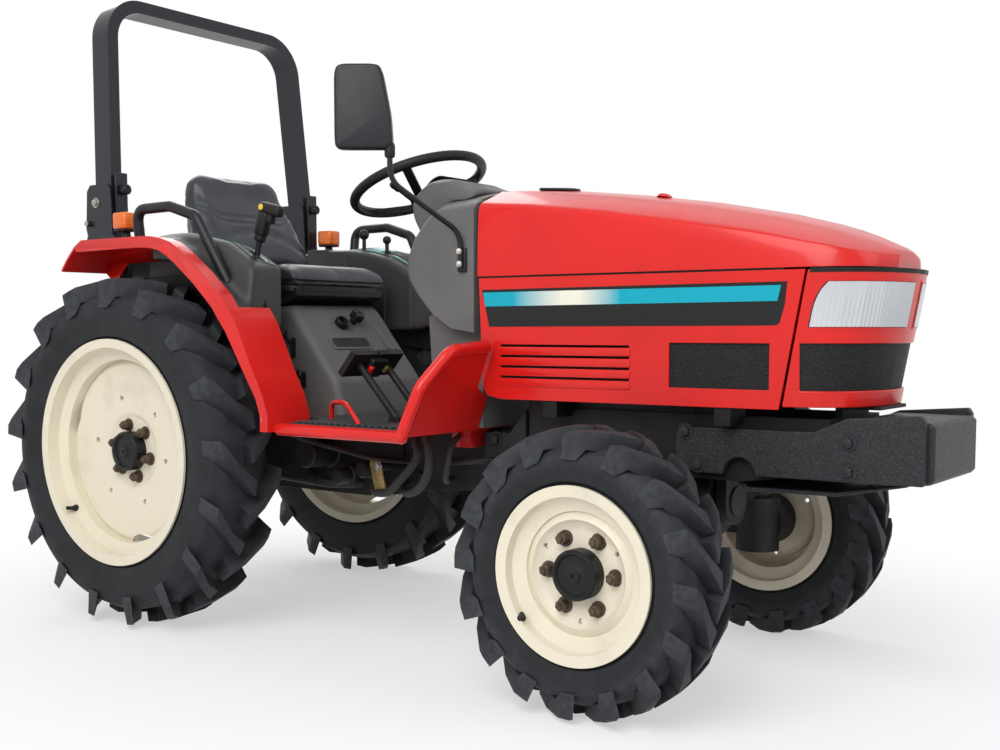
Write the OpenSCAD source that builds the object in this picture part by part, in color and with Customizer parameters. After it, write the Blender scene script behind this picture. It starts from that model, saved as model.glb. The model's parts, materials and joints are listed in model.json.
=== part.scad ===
// Compact four-wheel-drive farm tractor with a folding roll bar, millimetres.
// X points forward, Y to the left and Z up. Lengths along X are counted from the rear axle,
// and in_frame() moves the finished pieces to the middle of the ground outline.

/* [Wheels] */
// Distance between the two axles
wheelbase = 1535; // [1450:5:1620]
// Rear tyre diameter over the lugs
rear_tyre_d = 996; // [960:2:1020]
// Rear tyre width over the lugs
rear_tyre_w = 214; // [200:2:220]
// Rear rim flange diameter
rear_flange_d = 644; // [620:2:660]
// Rear rim width over the flanges
rear_rim_w = 195; // [180:1:198]
// Middle of each rear tyre from the tractor's centreline
rear_wheel_y = 492; // [488:1:520]
// Front tyre diameter over the lugs
front_tyre_d = 642; // [620:2:646]
// Front tyre width over the lugs
front_tyre_w = 160; // [150:2:168]
// Front rim flange diameter
front_flange_d = 392; // [380:2:400]
// Front rim width over the flanges
front_rim_w = 145; // [136:1:148]
// Middle of each front tyre from the tractor's centreline
front_wheel_y = 489; // [484:1:510]

/* [Bodywork] */
// Rear edge of the hood, from the rear axle
hood_rear_x = 1045; // [1020:5:1060]
// Nose tip ahead of the front axle
nose_reach = 550; // [530:5:570]
// Half width of the hood at its rear edge
hood_half_w = 240; // [230:1:250]
// Height of the joint between hood and side panels
hood_gap_z = 980; // [960:1:990]
// Lower edge of the side panels
panel_bottom_z = 672; // [664:1:690]
// Height of the hood's crown at its rear edge
hood_top_z = 1216; // [1200:1:1230]
// Thickness of the pressed and moulded panels
skin = 6; // [4:0.5:8]

/* [Roll bar] */
// Height of the roll bar's top edge
rops_top_z = 1849; // [1780:1:1900]
// Depth of the roll bar tube, front to back
rops_depth = 75; // [70:1:80]
// Width of the roll bar tube
rops_width = 38; // [34:1:42]
// Middle of each roll bar post from the centreline, at the bracket
rops_y = 399; // [396:1:404]
// Backward lean of the folding hoop
rops_lean = 4; // [2:0.5:6]

/* [Steering] */
// Outer diameter of the steering wheel
steering_d = 404; // [380:2:420]
// Distance of each kingpin from the centreline
kingpin_y = 385; // [378:1:388]
// Length of the steering arms behind the kingpins
steering_arm = 130; // [125:1:136]

/* [Hitch] */
// Length of the lower links from pivot to eye
link_len = 620; // [580:5:660]
// Length of the lift arms, and of the lift rods' seats along the lower links
lift_len = 260; // [240:5:280]
// Slope of the lower links below level, as parked
link_slope = 12; // [8:0.5:14]

/* [Hidden] */
$fn = 64;
rear_z = rear_tyre_d / 2;
front_z = front_tyre_d / 2;
nose_x = wheelbase + nose_reach;
rim_t = 7;
axle_z = 430;
trunnion_r = 36;
kingpin_r = 34;
fit = 0.05;
bend_steps = 5;
gap = 5;

// Hinge of the lower links, rockshaft above it, and the links' rear ends
link_x = -80;
link_z = 372;
rock_z = link_z + 428;
link_y = 200;
link_bar = 20;
eye_r = 32;
link_end_x = link_x - link_len * cos(link_slope);
seat_x = link_x - lift_len * cos(link_slope);
seat_drop = lift_len * sin(link_slope);

// Steering column and wheel
steer_c = [652, 0, 1257];
steer_tilt = 21;
shaft_r = 12;

// Roll bar: middle of the posts, wall, bracket plates and fold hinge
rops_x = -222;
rops_wall = 5;
plate_t = 8;
fold_x = rops_x - 63;
fold_z = 1165;

// Front weight and the outline's two ends
weight_x = wheelbase + 636;
frame_x = -(weight_x + link_end_x - eye_r) / 2;

// Fender roof, as points in X and Z from the rear tip to the step, and depth of its lip at each point
fender_y = 540;
step_z = 588;
roof_z = 1105;
fender_path = [
    [-276, 1020], [-250, 1050], [-210, 1087], [-176, roof_z], [0, roof_z], [90, roof_z],
    [140, 1103], [182, 1096], [222, 1084], [263, 1060], [343, 1004], [421, 939],
    [447, 905], [477, 866], [539, 742], [575, 678], [594, 625], [594, step_z - 6]
];
fender_lip = [0, 0, 18, 33, 31, 31, 32, 34, 40, 42, 45, 48, 48, 46, 32, 27, 27, 29];
step_y = 500;
cowl_x = 823;

// Helpers

function unit(v) = v / norm(v);

// Moves a finished piece into the published frame
module in_frame() translate([frame_x, 0, 0]) children();

// A left-hand piece and its mirror image
module both() {
    children();
    mirror([0, 1, 0]) children();
}

// Round bar along Y
module bar_y(r, y0, y1) translate([0, y0, 0]) rotate([-90, 0, 0]) cylinder(r = r, h = y1 - y0);

// Round bar along X
module bar_x(r, x0, x1) translate([x0, 0, 0]) rotate([0, 90, 0]) cylinder(r = r, h = x1 - x0);

// Plate with an outline in X and Z, from y0 to y1
module side_plate(pts, y0, y1)
    translate([0, y1, 0]) rotate([90, 0, 0]) linear_extrude(y1 - y0) polygon(pts);

// Block between two corners
module block(a, b) translate(a) cube(b - a);

// Round bar from a to b
module bar(a, b, r) {
    d = b - a;
    translate(a) rotate([0, acos(d[2] / norm(d)), atan2(d[1], d[0])]) cylinder(r = r, h = norm(d));
}

// Local axes x, y, z set at point o
module axes(o, x, y, z)
    multmatrix([
        [x[0], y[0], z[0], o[0]],
        [x[1], y[1], z[1], o[1]],
        [x[2], y[2], z[2], o[2]],
        [0, 0, 0, 1]
    ]) children();

function bend_n(p, i) = unit(cross(p[i] - p[i - 1], p[i + 1] - p[i]));
function bend_angle(p, i) = acos(unit(p[i] - p[i - 1]) * unit(p[i + 1] - p[i]));
function bend_cut(p, i, r) = r * tan(bend_angle(p, i) / 2);

// Bar bent along a path of points, with children as its section
module bent_bar(path, r) {
    last = len(path) - 1;
    for (i = [0:last - 1]) {
        t = unit(path[i + 1] - path[i]);
        n = bend_n(path, max(1, min(i, last - 1)));
        a = path[i] + (i == 0 ? 0 : bend_cut(path, i, r)) * t;
        b = path[i + 1] - (i == last - 1 ? 0 : bend_cut(path, i + 1, r)) * t;
        axes(a, cross(n, t), n, t) linear_extrude(norm(b - a)) children();
    }
    for (i = [1:last - 1]) {
        t = unit(path[i] - path[i - 1]);
        n = bend_n(path, i);
        c = path[i] - bend_cut(path, i, r) * t + r * cross(n, t);
        axes(c, -cross(n, t), t, n) rotate_extrude(angle = bend_angle(path, i)) translate([r, 0]) children();
    }
}

// Points and directions along a path with its corners rounded
function bend(p, i, r) =
    let (t = unit(p[i] - p[i - 1]), s = cross(bend_n(p, i), t), c = p[i] - bend_cut(p, i, r) * t + r * s)
    [for (k = [0:bend_steps]) let (f = bend_angle(p, i) * k / bend_steps)
        [c - r * cos(f) * s + r * sin(f) * t, cos(f) * t + sin(f) * s]];
function stations(p, r) =
    concat([[p[0], unit(p[1] - p[0])]], [for (i = [1:len(p) - 2]) each bend(p, i, r)],
           [[p[len(p) - 1], unit(p[len(p) - 1] - p[len(p) - 2])]]);

// Round tube bent along a path in a plane
module tube(path, bend_r, r) {
    n = bend_n(path, 1);
    loft([for (q = stations(path, bend_r)) let (x = cross(n, q[1]))
        [for (k = [0:11]) q[0] + r * (cos(30 * k) * x + sin(30 * k) * n)]]);
}

// Skin through closed rings of points, capped at both ends
module loft(rings) {
    n = len(rings);
    m = len(rings[0]);
    polyhedron(
        points = [for (ring = rings) each ring],
        faces = concat(
            [[for (i = [0:m - 1]) i]],
            [[for (i = [m - 1:-1:0]) (n - 1) * m + i]],
            [for (j = [0:n - 2], i = [0:m - 1]) each [
                [j * m + i, (j + 1) * m + i, (j + 1) * m + (i + 1) % m],
                [j * m + i, (j + 1) * m + (i + 1) % m, j * m + (i + 1) % m]
            ]]
        )
    );
}

// Open tub between an outer and an inner row of arches, closed at its last arch
module tub(outer, inner) {
    n = len(outer);
    m = len(outer[0]);
    k = n * m;
    e = (n - 1) * m;
    polyhedron(
        points = concat([for (ring = outer) each ring], [for (ring = inner) each ring]),
        faces = concat(
            [for (j = [0:n - 2], i = [0:m - 2]) each [
                [j * m + i, (j + 1) * m + i, (j + 1) * m + i + 1],
                [j * m + i, (j + 1) * m + i + 1, j * m + i + 1],
                [k + j * m + i, k + (j + 1) * m + i + 1, k + (j + 1) * m + i],
                [k + j * m + i, k + j * m + i + 1, k + (j + 1) * m + i + 1]
            ]],
            [for (j = [0:n - 2]) each [
                [j * m, k + j * m, k + (j + 1) * m],
                [j * m, k + (j + 1) * m, (j + 1) * m],
                [j * m + m - 1, (j + 1) * m + m - 1, k + (j + 1) * m + m - 1],
                [j * m + m - 1, k + (j + 1) * m + m - 1, k + j * m + m - 1]
            ]],
            [for (i = [0:m - 2]) each [
                [i, i + 1, k + i + 1],
                [i, k + i + 1, k + i]
            ]],
            [
                [for (i = [m - 1:-1:0]) e + i],
                [for (i = [0:m - 1]) k + e + i],
                [k + e, k + e + m - 1, e + m - 1],
                [k + e, e + m - 1, e]
            ]
        )
    );
}

// Corner normals of an open path in the plane, and the path moved sideways by d
function side_n(a, b) = unit([b[1] - a[1], a[0] - b[0]]);
function path_n(p, i) =
    let (last = len(p) - 1, u = side_n(p[max(i - 1, 0)], p[max(i, 1)]),
         v = side_n(p[min(i, last - 1)], p[min(i + 1, last)]))
    (u + v) / (1 + u * v);
function moved(p, d) = [for (i = [0:len(p) - 1]) p[i] + d * path_n(p, i)];

// Engine, gearbox and axles

module engine_block() color("#4a4d50") {
    side_plate([[1132, 560], [1132, 930], [wheelbase + 40, 850], [wheelbase + 75, 800],
                [wheelbase + 75, 560]],
               -140, 140);
    block([1132, -110, 470], [wheelbase - 130, 110, 560]);
}

module transmission_case() color("#5b5e60") {
    side_plate([[-190, 420], [-120, 372], [560, 372], [700, 386], [700, step_z - 6], [500, step_z - 6],
                [440, 650], [150, 730], [120, 840], [-170, 840], [-190, 800]], -130, 130);
    side_plate([[700, 392], [1000, 420], [1000, 578], [700, step_z - 6]], -120, 120);
    side_plate([[1000, 420], [1132, 440], [1132, 640], [1080, 578], [1000, 578]], -150, 150);
    translate([0, 0, 480]) bar_x(17.46, -292, -180);
    translate([0, 0, 480]) bar_x(45, -206, -180);
    bar([690, 0, 425], [wheelbase - 125, 0, axle_z], 26);
}

module rear_axle_housing() color("#4d5052") {
    both() {
        translate([0, 0, rear_z]) {
            bar_y(122, 130, 150);
            bar_y(66, 150, 364);
            bar_y(104, 226, 330);
            bar_y(30, 364, rear_wheel_y - 12);
        }
        block([-50, 300, rear_z], [50, 362, rear_z + 110]);
        translate([link_x, 0, link_z]) bar_y(14, 130, link_y + link_bar / 2 + 6);
        translate([link_x, 0, rock_z]) bar_y(22, 130, link_y + link_bar / 2 + 6);
    }
}

module front_frame() color("#2f3133") {
    both() {
        side_plate([[1180, 560], [1180, 630], [1300, 650], [wheelbase + 410, 650], [wheelbase + 410, 530],
                    [wheelbase + 200, 500], [wheelbase - 180, 500]], 140, 156);
    }
    block([wheelbase + 394, -140, 530], [wheelbase + 410, 140, 650]);
    for (x = [wheelbase - 118, wheelbase + 92]) difference() {
        union() {
            block([x, -140, 500], [x + 26, 140, 560]);
            translate([0, 0, axle_z]) bar_x(58, x, x + 26);
            block([x, -58, axle_z], [x + 26, 58, 520]);
        }
        translate([0, 0, axle_z]) bar_x(trunnion_r + 0.3, x - 1, x + 27);
    }
    for (x = [1240, 1700]) both() on_panel() block([x, -88, 632], [x + 40, -skin, panel_bottom_z + 18]);
    block([wheelbase + 394, -85, 640], [wheelbase + 410, 85, panel_bottom_z + 6]);
    block([wheelbase + 394, -85, panel_bottom_z - 2], [nose_x - 54, 85, panel_bottom_z + 6]);
}

module front_axle_beam() color("#3a3c3e") {
    translate([wheelbase, 0, axle_z]) {
        bar_x(trunnion_r, -122, 122);
        bar_x(84, -80, 80);
        both() rotate([-90, 0, 0]) rotate_extrude()
            polygon([[0, 0], [78, 0], [74, 60], [50, 130], [44, kingpin_y - 90], [32, kingpin_y - 66],
                     [32, kingpin_y], [0, kingpin_y]]);
        both() translate([0, kingpin_y, 0]) {
            translate([0, 0, -30]) cylinder(r = 46, h = 72);
            translate([0, 0, -130]) cylinder(r = kingpin_r, h = 110);
        }
    }
}

module knuckle() color("#3a3c3e") {
    difference() {
        union() {
            translate([wheelbase, kingpin_y, front_z - 76]) cylinder(r = 58, h = 146);
            translate([wheelbase, 0, front_z]) bar_y(70, kingpin_y, front_wheel_y - 8);
            translate([wheelbase, 0, front_z]) bar_y(25, front_wheel_y - 8, front_wheel_y + 24);
            block([wheelbase - steering_arm, kingpin_y - 16, 286], [wheelbase - 40, kingpin_y + 16, 304]);
            translate([wheelbase - steering_arm, kingpin_y, 286]) cylinder(r = 16, h = 18);
            translate([wheelbase - steering_arm, kingpin_y, 262]) cylinder(r = 9, h = 30);
        }
        translate([wheelbase, kingpin_y, axle_z - 136]) cylinder(r = kingpin_r + fit, h = 140);
    }
}
module knuckle_left() knuckle();
module knuckle_right() mirror([0, 1, 0]) knuckle();

module tie_rod() color("#303234") {
    translate([wheelbase - steering_arm, 0, 271]) difference() {
        union() {
            both() translate([0, kingpin_y, -12]) cylinder(r = 16, h = 23);
            bar_y(9, -kingpin_y + 10, kingpin_y - 10);
        }
        both() translate([0, kingpin_y, -20]) cylinder(r = 9 + fit, h = 40);
    }
}

// Wheels

// Point at angle a from the top towards the front, on radius r and at width y
function at(r, a, y) = [r * sin(a), y, r * cos(a)];

module rim(flange_d, width, disc_y, hub_r, shaft, hub_in) {
    f = flange_d / 2;
    h = width / 2;
    seat = f - 18;
    well = f - 52;
    ledge = 0.28 * width;
    rotate([-90, 0, 0]) {
        rotate_extrude() polygon([
            [f, -h], [f, -h + rim_t], [seat, -h + rim_t + 6], [seat - 3, -h + ledge - 10], [well, -h + ledge],
            [well, h - ledge], [seat - 3, h - ledge + 10], [seat, h - rim_t - 6], [f, h - rim_t], [f, h],
            [seat - rim_t, h - 3], [seat - rim_t - 3, h - ledge + 16], [well - rim_t, h - ledge + 5],
            [well - rim_t, -h + ledge - 5], [seat - rim_t - 3, -h + ledge - 16], [seat - rim_t, -h + 3]
        ]);
        difference() {
            rotate_extrude() polygon([
                [shaft + fit, disc_y - 10], [hub_r + 42, disc_y - 10], [hub_r + 60, disc_y - 2],
                [well - rim_t - 20, disc_y + 8], [well - rim_t + 2, disc_y - 4],
                [well - rim_t + 2, disc_y + 6], [well - rim_t - 18, disc_y + 18],
                [hub_r + 58, disc_y + 8], [hub_r + 40, disc_y],
                [shaft + fit, disc_y]
            ]);
            translate([0, 0, disc_y - 20]) linear_extrude(60) children();
        }
        difference() {
            translate([0, 0, hub_in]) cylinder(r = hub_r, h = disc_y + 30 - hub_in);
            translate([0, 0, hub_in - 1]) cylinder(r = shaft + fit, h = disc_y + 20 - hub_in);
        }
    }
}

// Rows of a lug from shoulder to middle: share of the half width, fall of its top,
// half widths of top and foot, share of the lead
lug_rows = [[1, 14, 15, 24, 0], [0.86, 7, 15, 26, 0.16], [0.45, 2, 16, 28, 0.62], [-0.06, 0, 22, 30, 1]];

module lug(r, w, depth, lead)
    loft([for (i = [0:3])
        let (q = lug_rows[i], y = q[0] * w, top = r - q[1], foot = r - (i == 0 ? 2.1 : 1.35) * depth,
             c = lead * q[4], s = 180 / PI / r)
        [at(foot, c + q[3] * s, y), at(top, c + q[2] * s, y),
         at(top, c - q[2] * s, y), at(foot, c - q[3] * s, y)]]);

module tyre(od, width, flange_d, rim_width, lugs, depth, lead) {
    r = od / 2;
    f = flange_d / 2;
    w = width / 2;
    b = rim_width / 2 - rim_t - 7;
    s = f - 17.8;
    c = r - depth;
    rotate([-90, 0, 0]) rotate_extrude() polygon([
        [s, -b], [f + 3, -b], [f + 8, -b - 8], [f + 0.35 * (c - f), -w + 8], [f + 0.6 * (c - f), -w + 5],
        [c - 22, -w + 14], [c - 4, -w * 0.55], [c, 0], [c - 4, w * 0.55], [c - 22, w - 14],
        [f + 0.6 * (c - f), w - 5], [f + 0.35 * (c - f), w - 8], [f + 8, b + 8], [f + 3, b], [s, b]
    ]);
    for (i = [0:lugs - 1]) {
        rotate([0, 360 * i / lugs, 0]) lug(r, w, depth, lead);
        rotate([0, 360 * (i + 0.5) / lugs, 0]) mirror([0, 1, 0]) lug(r, w, depth, lead);
    }
}

module rear_rim() color("#e9dfc3") translate([0, rear_wheel_y, rear_z])
    rim(rear_flange_d, rear_rim_w, rear_rim_w / 2 - 86, 54, 30, -100) {
        for (a = [8, 68, 128, 189, 256, 316]) rotate(a) translate([155, 0]) circle(r = 8);
        for (a = [80, 200, 320]) rotate(a) translate([rear_flange_d / 2 + 14, 0]) circle(r = 95);
    }
module rear_rim_left() rear_rim();
module rear_rim_right() mirror([0, 1, 0]) rear_rim();

module rear_tyre() color("#1d1e1f") translate([0, rear_wheel_y, rear_z])
    tyre(rear_tyre_d, rear_tyre_w, rear_flange_d, rear_rim_w, 17, 42, 14);
module rear_tyre_left() rear_tyre();
module rear_tyre_right() mirror([0, 1, 0]) rear_tyre();

module front_rim() color("#e9dfc3") translate([wheelbase, front_wheel_y, front_z])
    rim(front_flange_d, front_rim_w, front_rim_w / 2 - 50, 52, 25, -4)
        for (a = [90, 210, 330]) rotate(a) translate([104, 0]) circle(r = 6);
module front_rim_left() front_rim();
module front_rim_right() mirror([0, 1, 0]) front_rim();

module front_tyre() color("#1d1e1f") translate([wheelbase, front_wheel_y, front_z])
    tyre(front_tyre_d, front_tyre_w, front_flange_d, front_rim_w, 16, 33, 20);
module front_tyre_left() front_tyre();
module front_tyre_right() mirror([0, 1, 0]) front_tyre();

// Front weight

module weight_bracket() color("#3b3d3f") {
    both() difference() {
        side_plate([[wheelbase + 45, 540], [wheelbase + 45, 606], [wheelbase + 78, 622],
                    [wheelbase + 382, 624],
                    [wheelbase + 455, 656], [weight_x - 22, 668], [weight_x - 14, 655], [weight_x - 14, 520],
                    [wheelbase + 105, 517], [wheelbase + 60, 525]], 156, 180);
        translate([wheelbase + 205, 0, 517]) bar_y(40, 150, 190);
    }
    side_plate([[wheelbase + 180, 500], [wheelbase + 200, 476], [wheelbase + 420, 480], [weight_x - 60, 512],
                [weight_x - 60, 520], [wheelbase + 418, 490], [wheelbase + 208, 487], [wheelbase + 190, 508]],
               -138, 138);
}

module front_weight() color("#444648")
    side_plate([[wheelbase + 452, 520], [weight_x - 8, 520], [weight_x, 532], [weight_x, 642],
                [weight_x - 8, 652], [wheelbase + 452, 652]], -156, 156);

// Hood, panels and nose

// Share of the hood's length, share of its half width, fall of the crown,
// height of the crown over the shoulder
hood_rows = [
    [0, 1, 0, 48], [0.15, 0.995, 11, 49], [0.35, 0.985, 35, 50], [0.55, 0.97, 65, 50], [0.745, 0.95, 104, 48],
    [0.845, 0.93, 131, 45], [0.895, 0.895, 147, 40], [0.935, 0.83, 163, 34], [0.965, 0.72, 177, 26],
    [0.985, 0.55, 189, 18], [1, 0.3, 201, 9]
];

function hood_arch(row, t) =
    let (x = hood_rear_x + row[0] * (nose_x - 27 - hood_rear_x) - (row[0] == 1 ? t : 0),
         w = hood_half_w * row[1] - t, top = hood_top_z - row[2] - t, s = top - row[3], g = hood_gap_z,
         right = [[w, g], [w - 2, g + 0.5 * (s - g)], [w - 6, g + 0.88 * (s - g)],
                  [w - 12, g + 0.96 * (s - g)],
                  [0.9 * w, s], [0.55 * w, top - 0.3 * (top - s)]])
    concat([for (p = right) [x, p[0], p[1]]], [[x, 0, top]],
           [for (i = [len(right) - 1:-1:0]) [x, -right[i][0], right[i][1]]]);

hinge_x = hood_rear_x + 10;
hinge_z = hood_top_z - 32;

module hood() color("#c8202b") {
    tub([for (row = hood_rows) hood_arch(row, 0)], [for (row = hood_rows) hood_arch(row, skin)]);
    both() translate([hinge_x, 0, hinge_z]) difference() {
        translate([-8, 80, -12]) cube([24, 24, 31]);
        bar_y(7 + fit, 70, 120);
    }
}

// Joint between side panels and nose, leaning forward with height
split_lean = 0.18;
lamp_z = [857, 943];
grille_z = [714, 816];
panel_grille = [wheelbase + 53, wheelbase + 297];
function split_x(z) = wheelbase + 380 - split_lean * (hood_gap_z - z);

// Frame of the left side panel, which leans in towards the nose
module on_panel()
    translate([hood_rear_x, hood_half_w, 0]) rotate([0, 0, -1]) translate([-hood_rear_x, 0, 0]) children();

module side_panel() color("#c8202b") on_panel() difference() {
    side_plate([[hood_rear_x + 4, hood_gap_z - gap], [hood_rear_x + 16, panel_bottom_z + 30],
                [hood_rear_x + 30, panel_bottom_z + 8], [hood_rear_x + 70, panel_bottom_z],
                [split_x(panel_bottom_z) - gap, panel_bottom_z],
                [split_x(hood_gap_z) - gap, hood_gap_z - gap]], -skin, 0);
    for (i = [0:3]) block([hood_rear_x + 71, -20, grille_z[0] + 8 + 26 * i],
                          [hood_rear_x + 439, 20, grille_z[0] + 17 + 26 * i]);
    block([panel_grille[0], -20, grille_z[0]], [panel_grille[1], 20, grille_z[1]]);
}
module side_panel_left() side_panel();
module side_panel_right() mirror([0, 1, 0]) side_panel();

// Half of the nose seen from above, from the joint to the tip, counted from the joint's top
nose_half = [
    [0, 222], [45, 212], [82, 196], [115, 169], [141, 130], [158, 80], [nose_reach - 383, 28]
];
nose_path = concat(nose_half, [for (i = [len(nose_half) - 1:-1:0]) [nose_half[i][0], -nose_half[i][1]]]);

// Wall following the leaning nose between two depths and two heights
module nose_wall(d0, d1, z0, z1) {
    outer = moved(nose_path, d0);
    inner = moved(nose_path, d1);
    intersection() {
        translate([split_x(hood_gap_z), 0, hood_gap_z]) rotate([0, atan(split_lean), 0])
            translate([0, 0, -400]) linear_extrude(500)
                polygon(concat(outer, [for (i = [len(inner) - 1:-1:0]) inner[i]]));
        block([split_x(z0) - 50, -300, z0], [nose_x + 50, 300, z1]);
    }
}

module nose_panel() color("#c8202b") difference() {
    nose_wall(0, skin, panel_bottom_z + 6, hood_gap_z - gap);
    both() block([split_x(lamp_z[1]) + 16, 62, lamp_z[0]], [nose_x + 50, 300, lamp_z[1]]);
    block([split_x(grille_z[1]) + 12, -300, grille_z[0]], [nose_x + 50, 300, grille_z[1]]);
}

module headlamps() color("#dfe6ea") both() intersection() {
    nose_wall(1, skin + 22, lamp_z[0] - gap, lamp_z[1] + gap);
    block([split_x(lamp_z[1]) + 16, 62, lamp_z[0]], [nose_x + 50, 300, lamp_z[1]]);
}

module grilles() color("#191a1b") {
    nose_wall(skin, skin + 5, grille_z[0] - 10, grille_z[1] + 10);
    both() on_panel() block([panel_grille[0] - 10, -skin - 4, grille_z[0] - 10],
                            [panel_grille[1] + 10, -skin, grille_z[1] + 10]);
}

// Dash and steering

// Side outline of the cowl and of the instrument hump, each from the lower rear round by the top
cowl_side = [
    [905, 885], [860, 935], [cowl_x + 9, 975], [cowl_x, 1005], [cowl_x + 7, 1040],
    [cowl_x + 27, 1080], [890, 1122], [925, 1142], [hood_rear_x - 9, 1150], [hood_rear_x - 9, 838], [960, 850]
];
cowl_bulge = [0.75, 0.9, 1, 1, 1, 0.95, 0.8, 0.6, 0, 0, 0.3];
cowl_lift = [0, 0, 0, 0, 0, 0.3, 0.7, 1, 1, 0, 0];
// Half widths with the cowl's bulge to the rear and its rise there
cowl_rows = [[244, 0, 0], [228, 22, 16], [180, 50, 32], [100, 72, 54]];
hump_side = [
    [770, 1090], [738, 1150], [730, 1190], [742, 1222], [768, 1246], [803, 1259],
    [852, 1256], [892, 1240], [945, 1226], [960, 1216], [960, 1130], [870, 1080]
];
hump_drop = [0, 0.2, 0.5, 0.8, 1, 1, 1, 1, 0.9, 0.6, 0, 0];
hump_rows = [[150, 46, 26], [138, 18, 12], [92, 4, 4]];

module cowl_body() loft([for (k = concat([for (r = cowl_rows) [-r[0], r[1], r[2]]], [[0, 80, 64]],
                                         [for (i = [3:-1:0]) cowl_rows[i]]))
    [for (i = [0:len(cowl_side) - 1])
        [cowl_side[i][0] - k[1] * cowl_bulge[i], k[0], cowl_side[i][1] + k[2] * cowl_lift[i]]]]);

module dash_cowl() color("#6f767b") {
    difference() {
        union() {
            cowl_body();
            side_plate([[870, step_z + 4], [850, 880], [900, 900], [1030, 870], [1030, step_z + 4]],
                       -196, 196);
        }
        column_hole();
        translate([hinge_x, 0, hinge_z]) bar_y(40, -200, 200);
    }
    both() side_plate([[hood_rear_x - 15, hinge_z - 60], [hood_rear_x - 15, hinge_z - 14],
                       [hinge_x - 7, hinge_z + 7], [hinge_x + 7, hinge_z + 7], [hinge_x + 7, hinge_z - 60]],
                      70, 78);
    translate([hinge_x, 0, hinge_z]) both() bar_y(7, 70, 106);
}

module instrument_panel() color("#7b8287") difference() {
    loft([for (k = concat([for (r = hump_rows) [-r[0], r[1], r[2]]], [for (i = [2:-1:0]) hump_rows[i]]))
        [for (i = [0:len(hump_side) - 1])
            [hump_side[i][0] + (i < 5 ? k[2] : 0), k[0], hump_side[i][1] - k[1] * hump_drop[i]]]]);
    cowl_body();
    column_hole();
}

// Column frame with its origin at the steering wheel's centre and Z along the shaft
module on_column() translate(steer_c) rotate([0, -steer_tilt, 0]) children();

module column_hole() on_column() translate([0, 0, -400]) cylinder(r = 30.2, h = 330);

module steering_column() color("#26282a") on_column() {
    translate([0, 0, -120]) cylinder(r = shaft_r, h = 74);
    translate([0, 0, -360]) cylinder(r = 30, h = 262);
}

module steering_wheel() color("#1b1c1d") on_column() {
    difference() {
        translate([0, 0, -84]) cylinder(r = 36, h = 50);
        translate([0, 0, -90]) cylinder(r = shaft_r + fit, h = 45);
    }
    rotate_extrude() translate([steering_d / 2 - 14, 0]) circle(r = 14);
    for (a = [60, 180, 300]) rotate([0, 0, a]) translate([26, -12, -64]) rotate([0, -19, 0])
        cube([steering_d / 2 - 34, 24, 14]);
}

// Fenders and consoles

// Strip under part of the fender path, between two depths
function part_of(p, a, b) = [for (i = [a:b]) p[i]];
function strip(p, q) = concat(p, [for (i = [len(q) - 1:-1:0]) q[i]]);

fender_foot = [for (i = [0:len(fender_path) - 1]) fender_path[i] + fender_lip[i] * path_n(fender_path, i)];
rear_roof = part_of(fender_path, 0, 5);
front_roof = part_of(fender_path, 12, 17);

module fender() color("#c8202b") {
    side_plate(strip(fender_path, moved(fender_path, skin)), fender_y - 40, fender_y);
    side_plate(strip(part_of(fender_path, 2, 17), part_of(fender_foot, 2, 17)), fender_y - skin, fender_y);
    side_plate(strip(rear_roof, moved(rear_roof, skin)), 378, fender_y - 30);
    side_plate(strip(rear_roof, moved(rear_roof, 60)), 378, 378 + skin);
    side_plate(strip(front_roof, moved(front_roof, skin)), 389, fender_y - 30);
    side_plate(strip(front_roof, moved(front_roof, 70)), 389, 389 + skin);
}
module fender_left() fender();
module fender_right() mirror([0, 1, 0]) fender();

// Rows of a console: X at its inner and outer edge, heights of inner edge, ridge, valley,
// outer edge and underside
roof_rows = [[5, 5, 1110, 1118, 1107, 1106, roof_z], [90, 90, 1107, 1124, 1108, 1106, roof_z]];
console_rows = [
    [90, 90, 1107, 1124, 1108, 1101, 1040], [140, 150, 1103, 1123, 1102, 1097, 1038],
    [215, 235, 1091, 1108, 1068, 1068, 1012], [280, 315, 1074, 1092, 1005, 1012, 960],
    [340, 385, 1046, 1052, 945, 962, 905], [386, 446, 1019, 1014, 902, 900, 845]
];
console_y = 280;
console_w = fender_y - 40 - console_y;
// Feet of the gear and lift levers: X, Y, depth and height of the console there
lever_feet = [[351, -345, 1020, 1054], [125, 345, 1080, 1113], [226, 345, 1055, 1099]];

// Point of a grab rail, in its leaning plane
function rail(x, z) = [x, 460 - 0.11 * (1190 - z), z];
rail_r = 15.5;
rail_bend = rail(232, 1160);
rail_end = rail(338, 972);

module console_part(rows) loft([for (k = rows)
    [for (q = [[console_w, k[6]], [console_w, k[5]], [165, k[4]], [145, k[3] - 8], [125, k[3]],
               [0, k[2]], [0, k[6]]])
        [k[0] + (k[1] - k[0]) * q[0] / console_w, console_y + q[0], q[1]]]]);

module console() {
    console_part(roof_rows);
    console_part(console_rows);
    block([260, console_y, 845], [386, 378, 1000]);
}

module consoles() color("#70777b") difference() {
    both() console();
    both() bar(rail_bend, rail_end + unit(rail_end - rail_bend), rail_r + 0.25);
    both() side_plate(strip(front_roof, moved(front_roof, 70)), 380, fender_y);
    for (f = lever_feet) translate([f[0], f[1], f[2]]) cylinder(r = 14.2, h = 120);
}

module grab_rails() color("#1e2021") both()
    tube([rail(-20, roof_z + 1.3), rail(-20, 1190), rail(126, 1192), rail_bend, rail_end], 36, rail_r);

module turn_signals() color("#e08a1e") both() {
    block([-146, 396, 1134], [-86, 456, 1190]);
    block([-130, 412, roof_z], [-102, 440, 1134]);
}

// Roll bar

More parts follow.
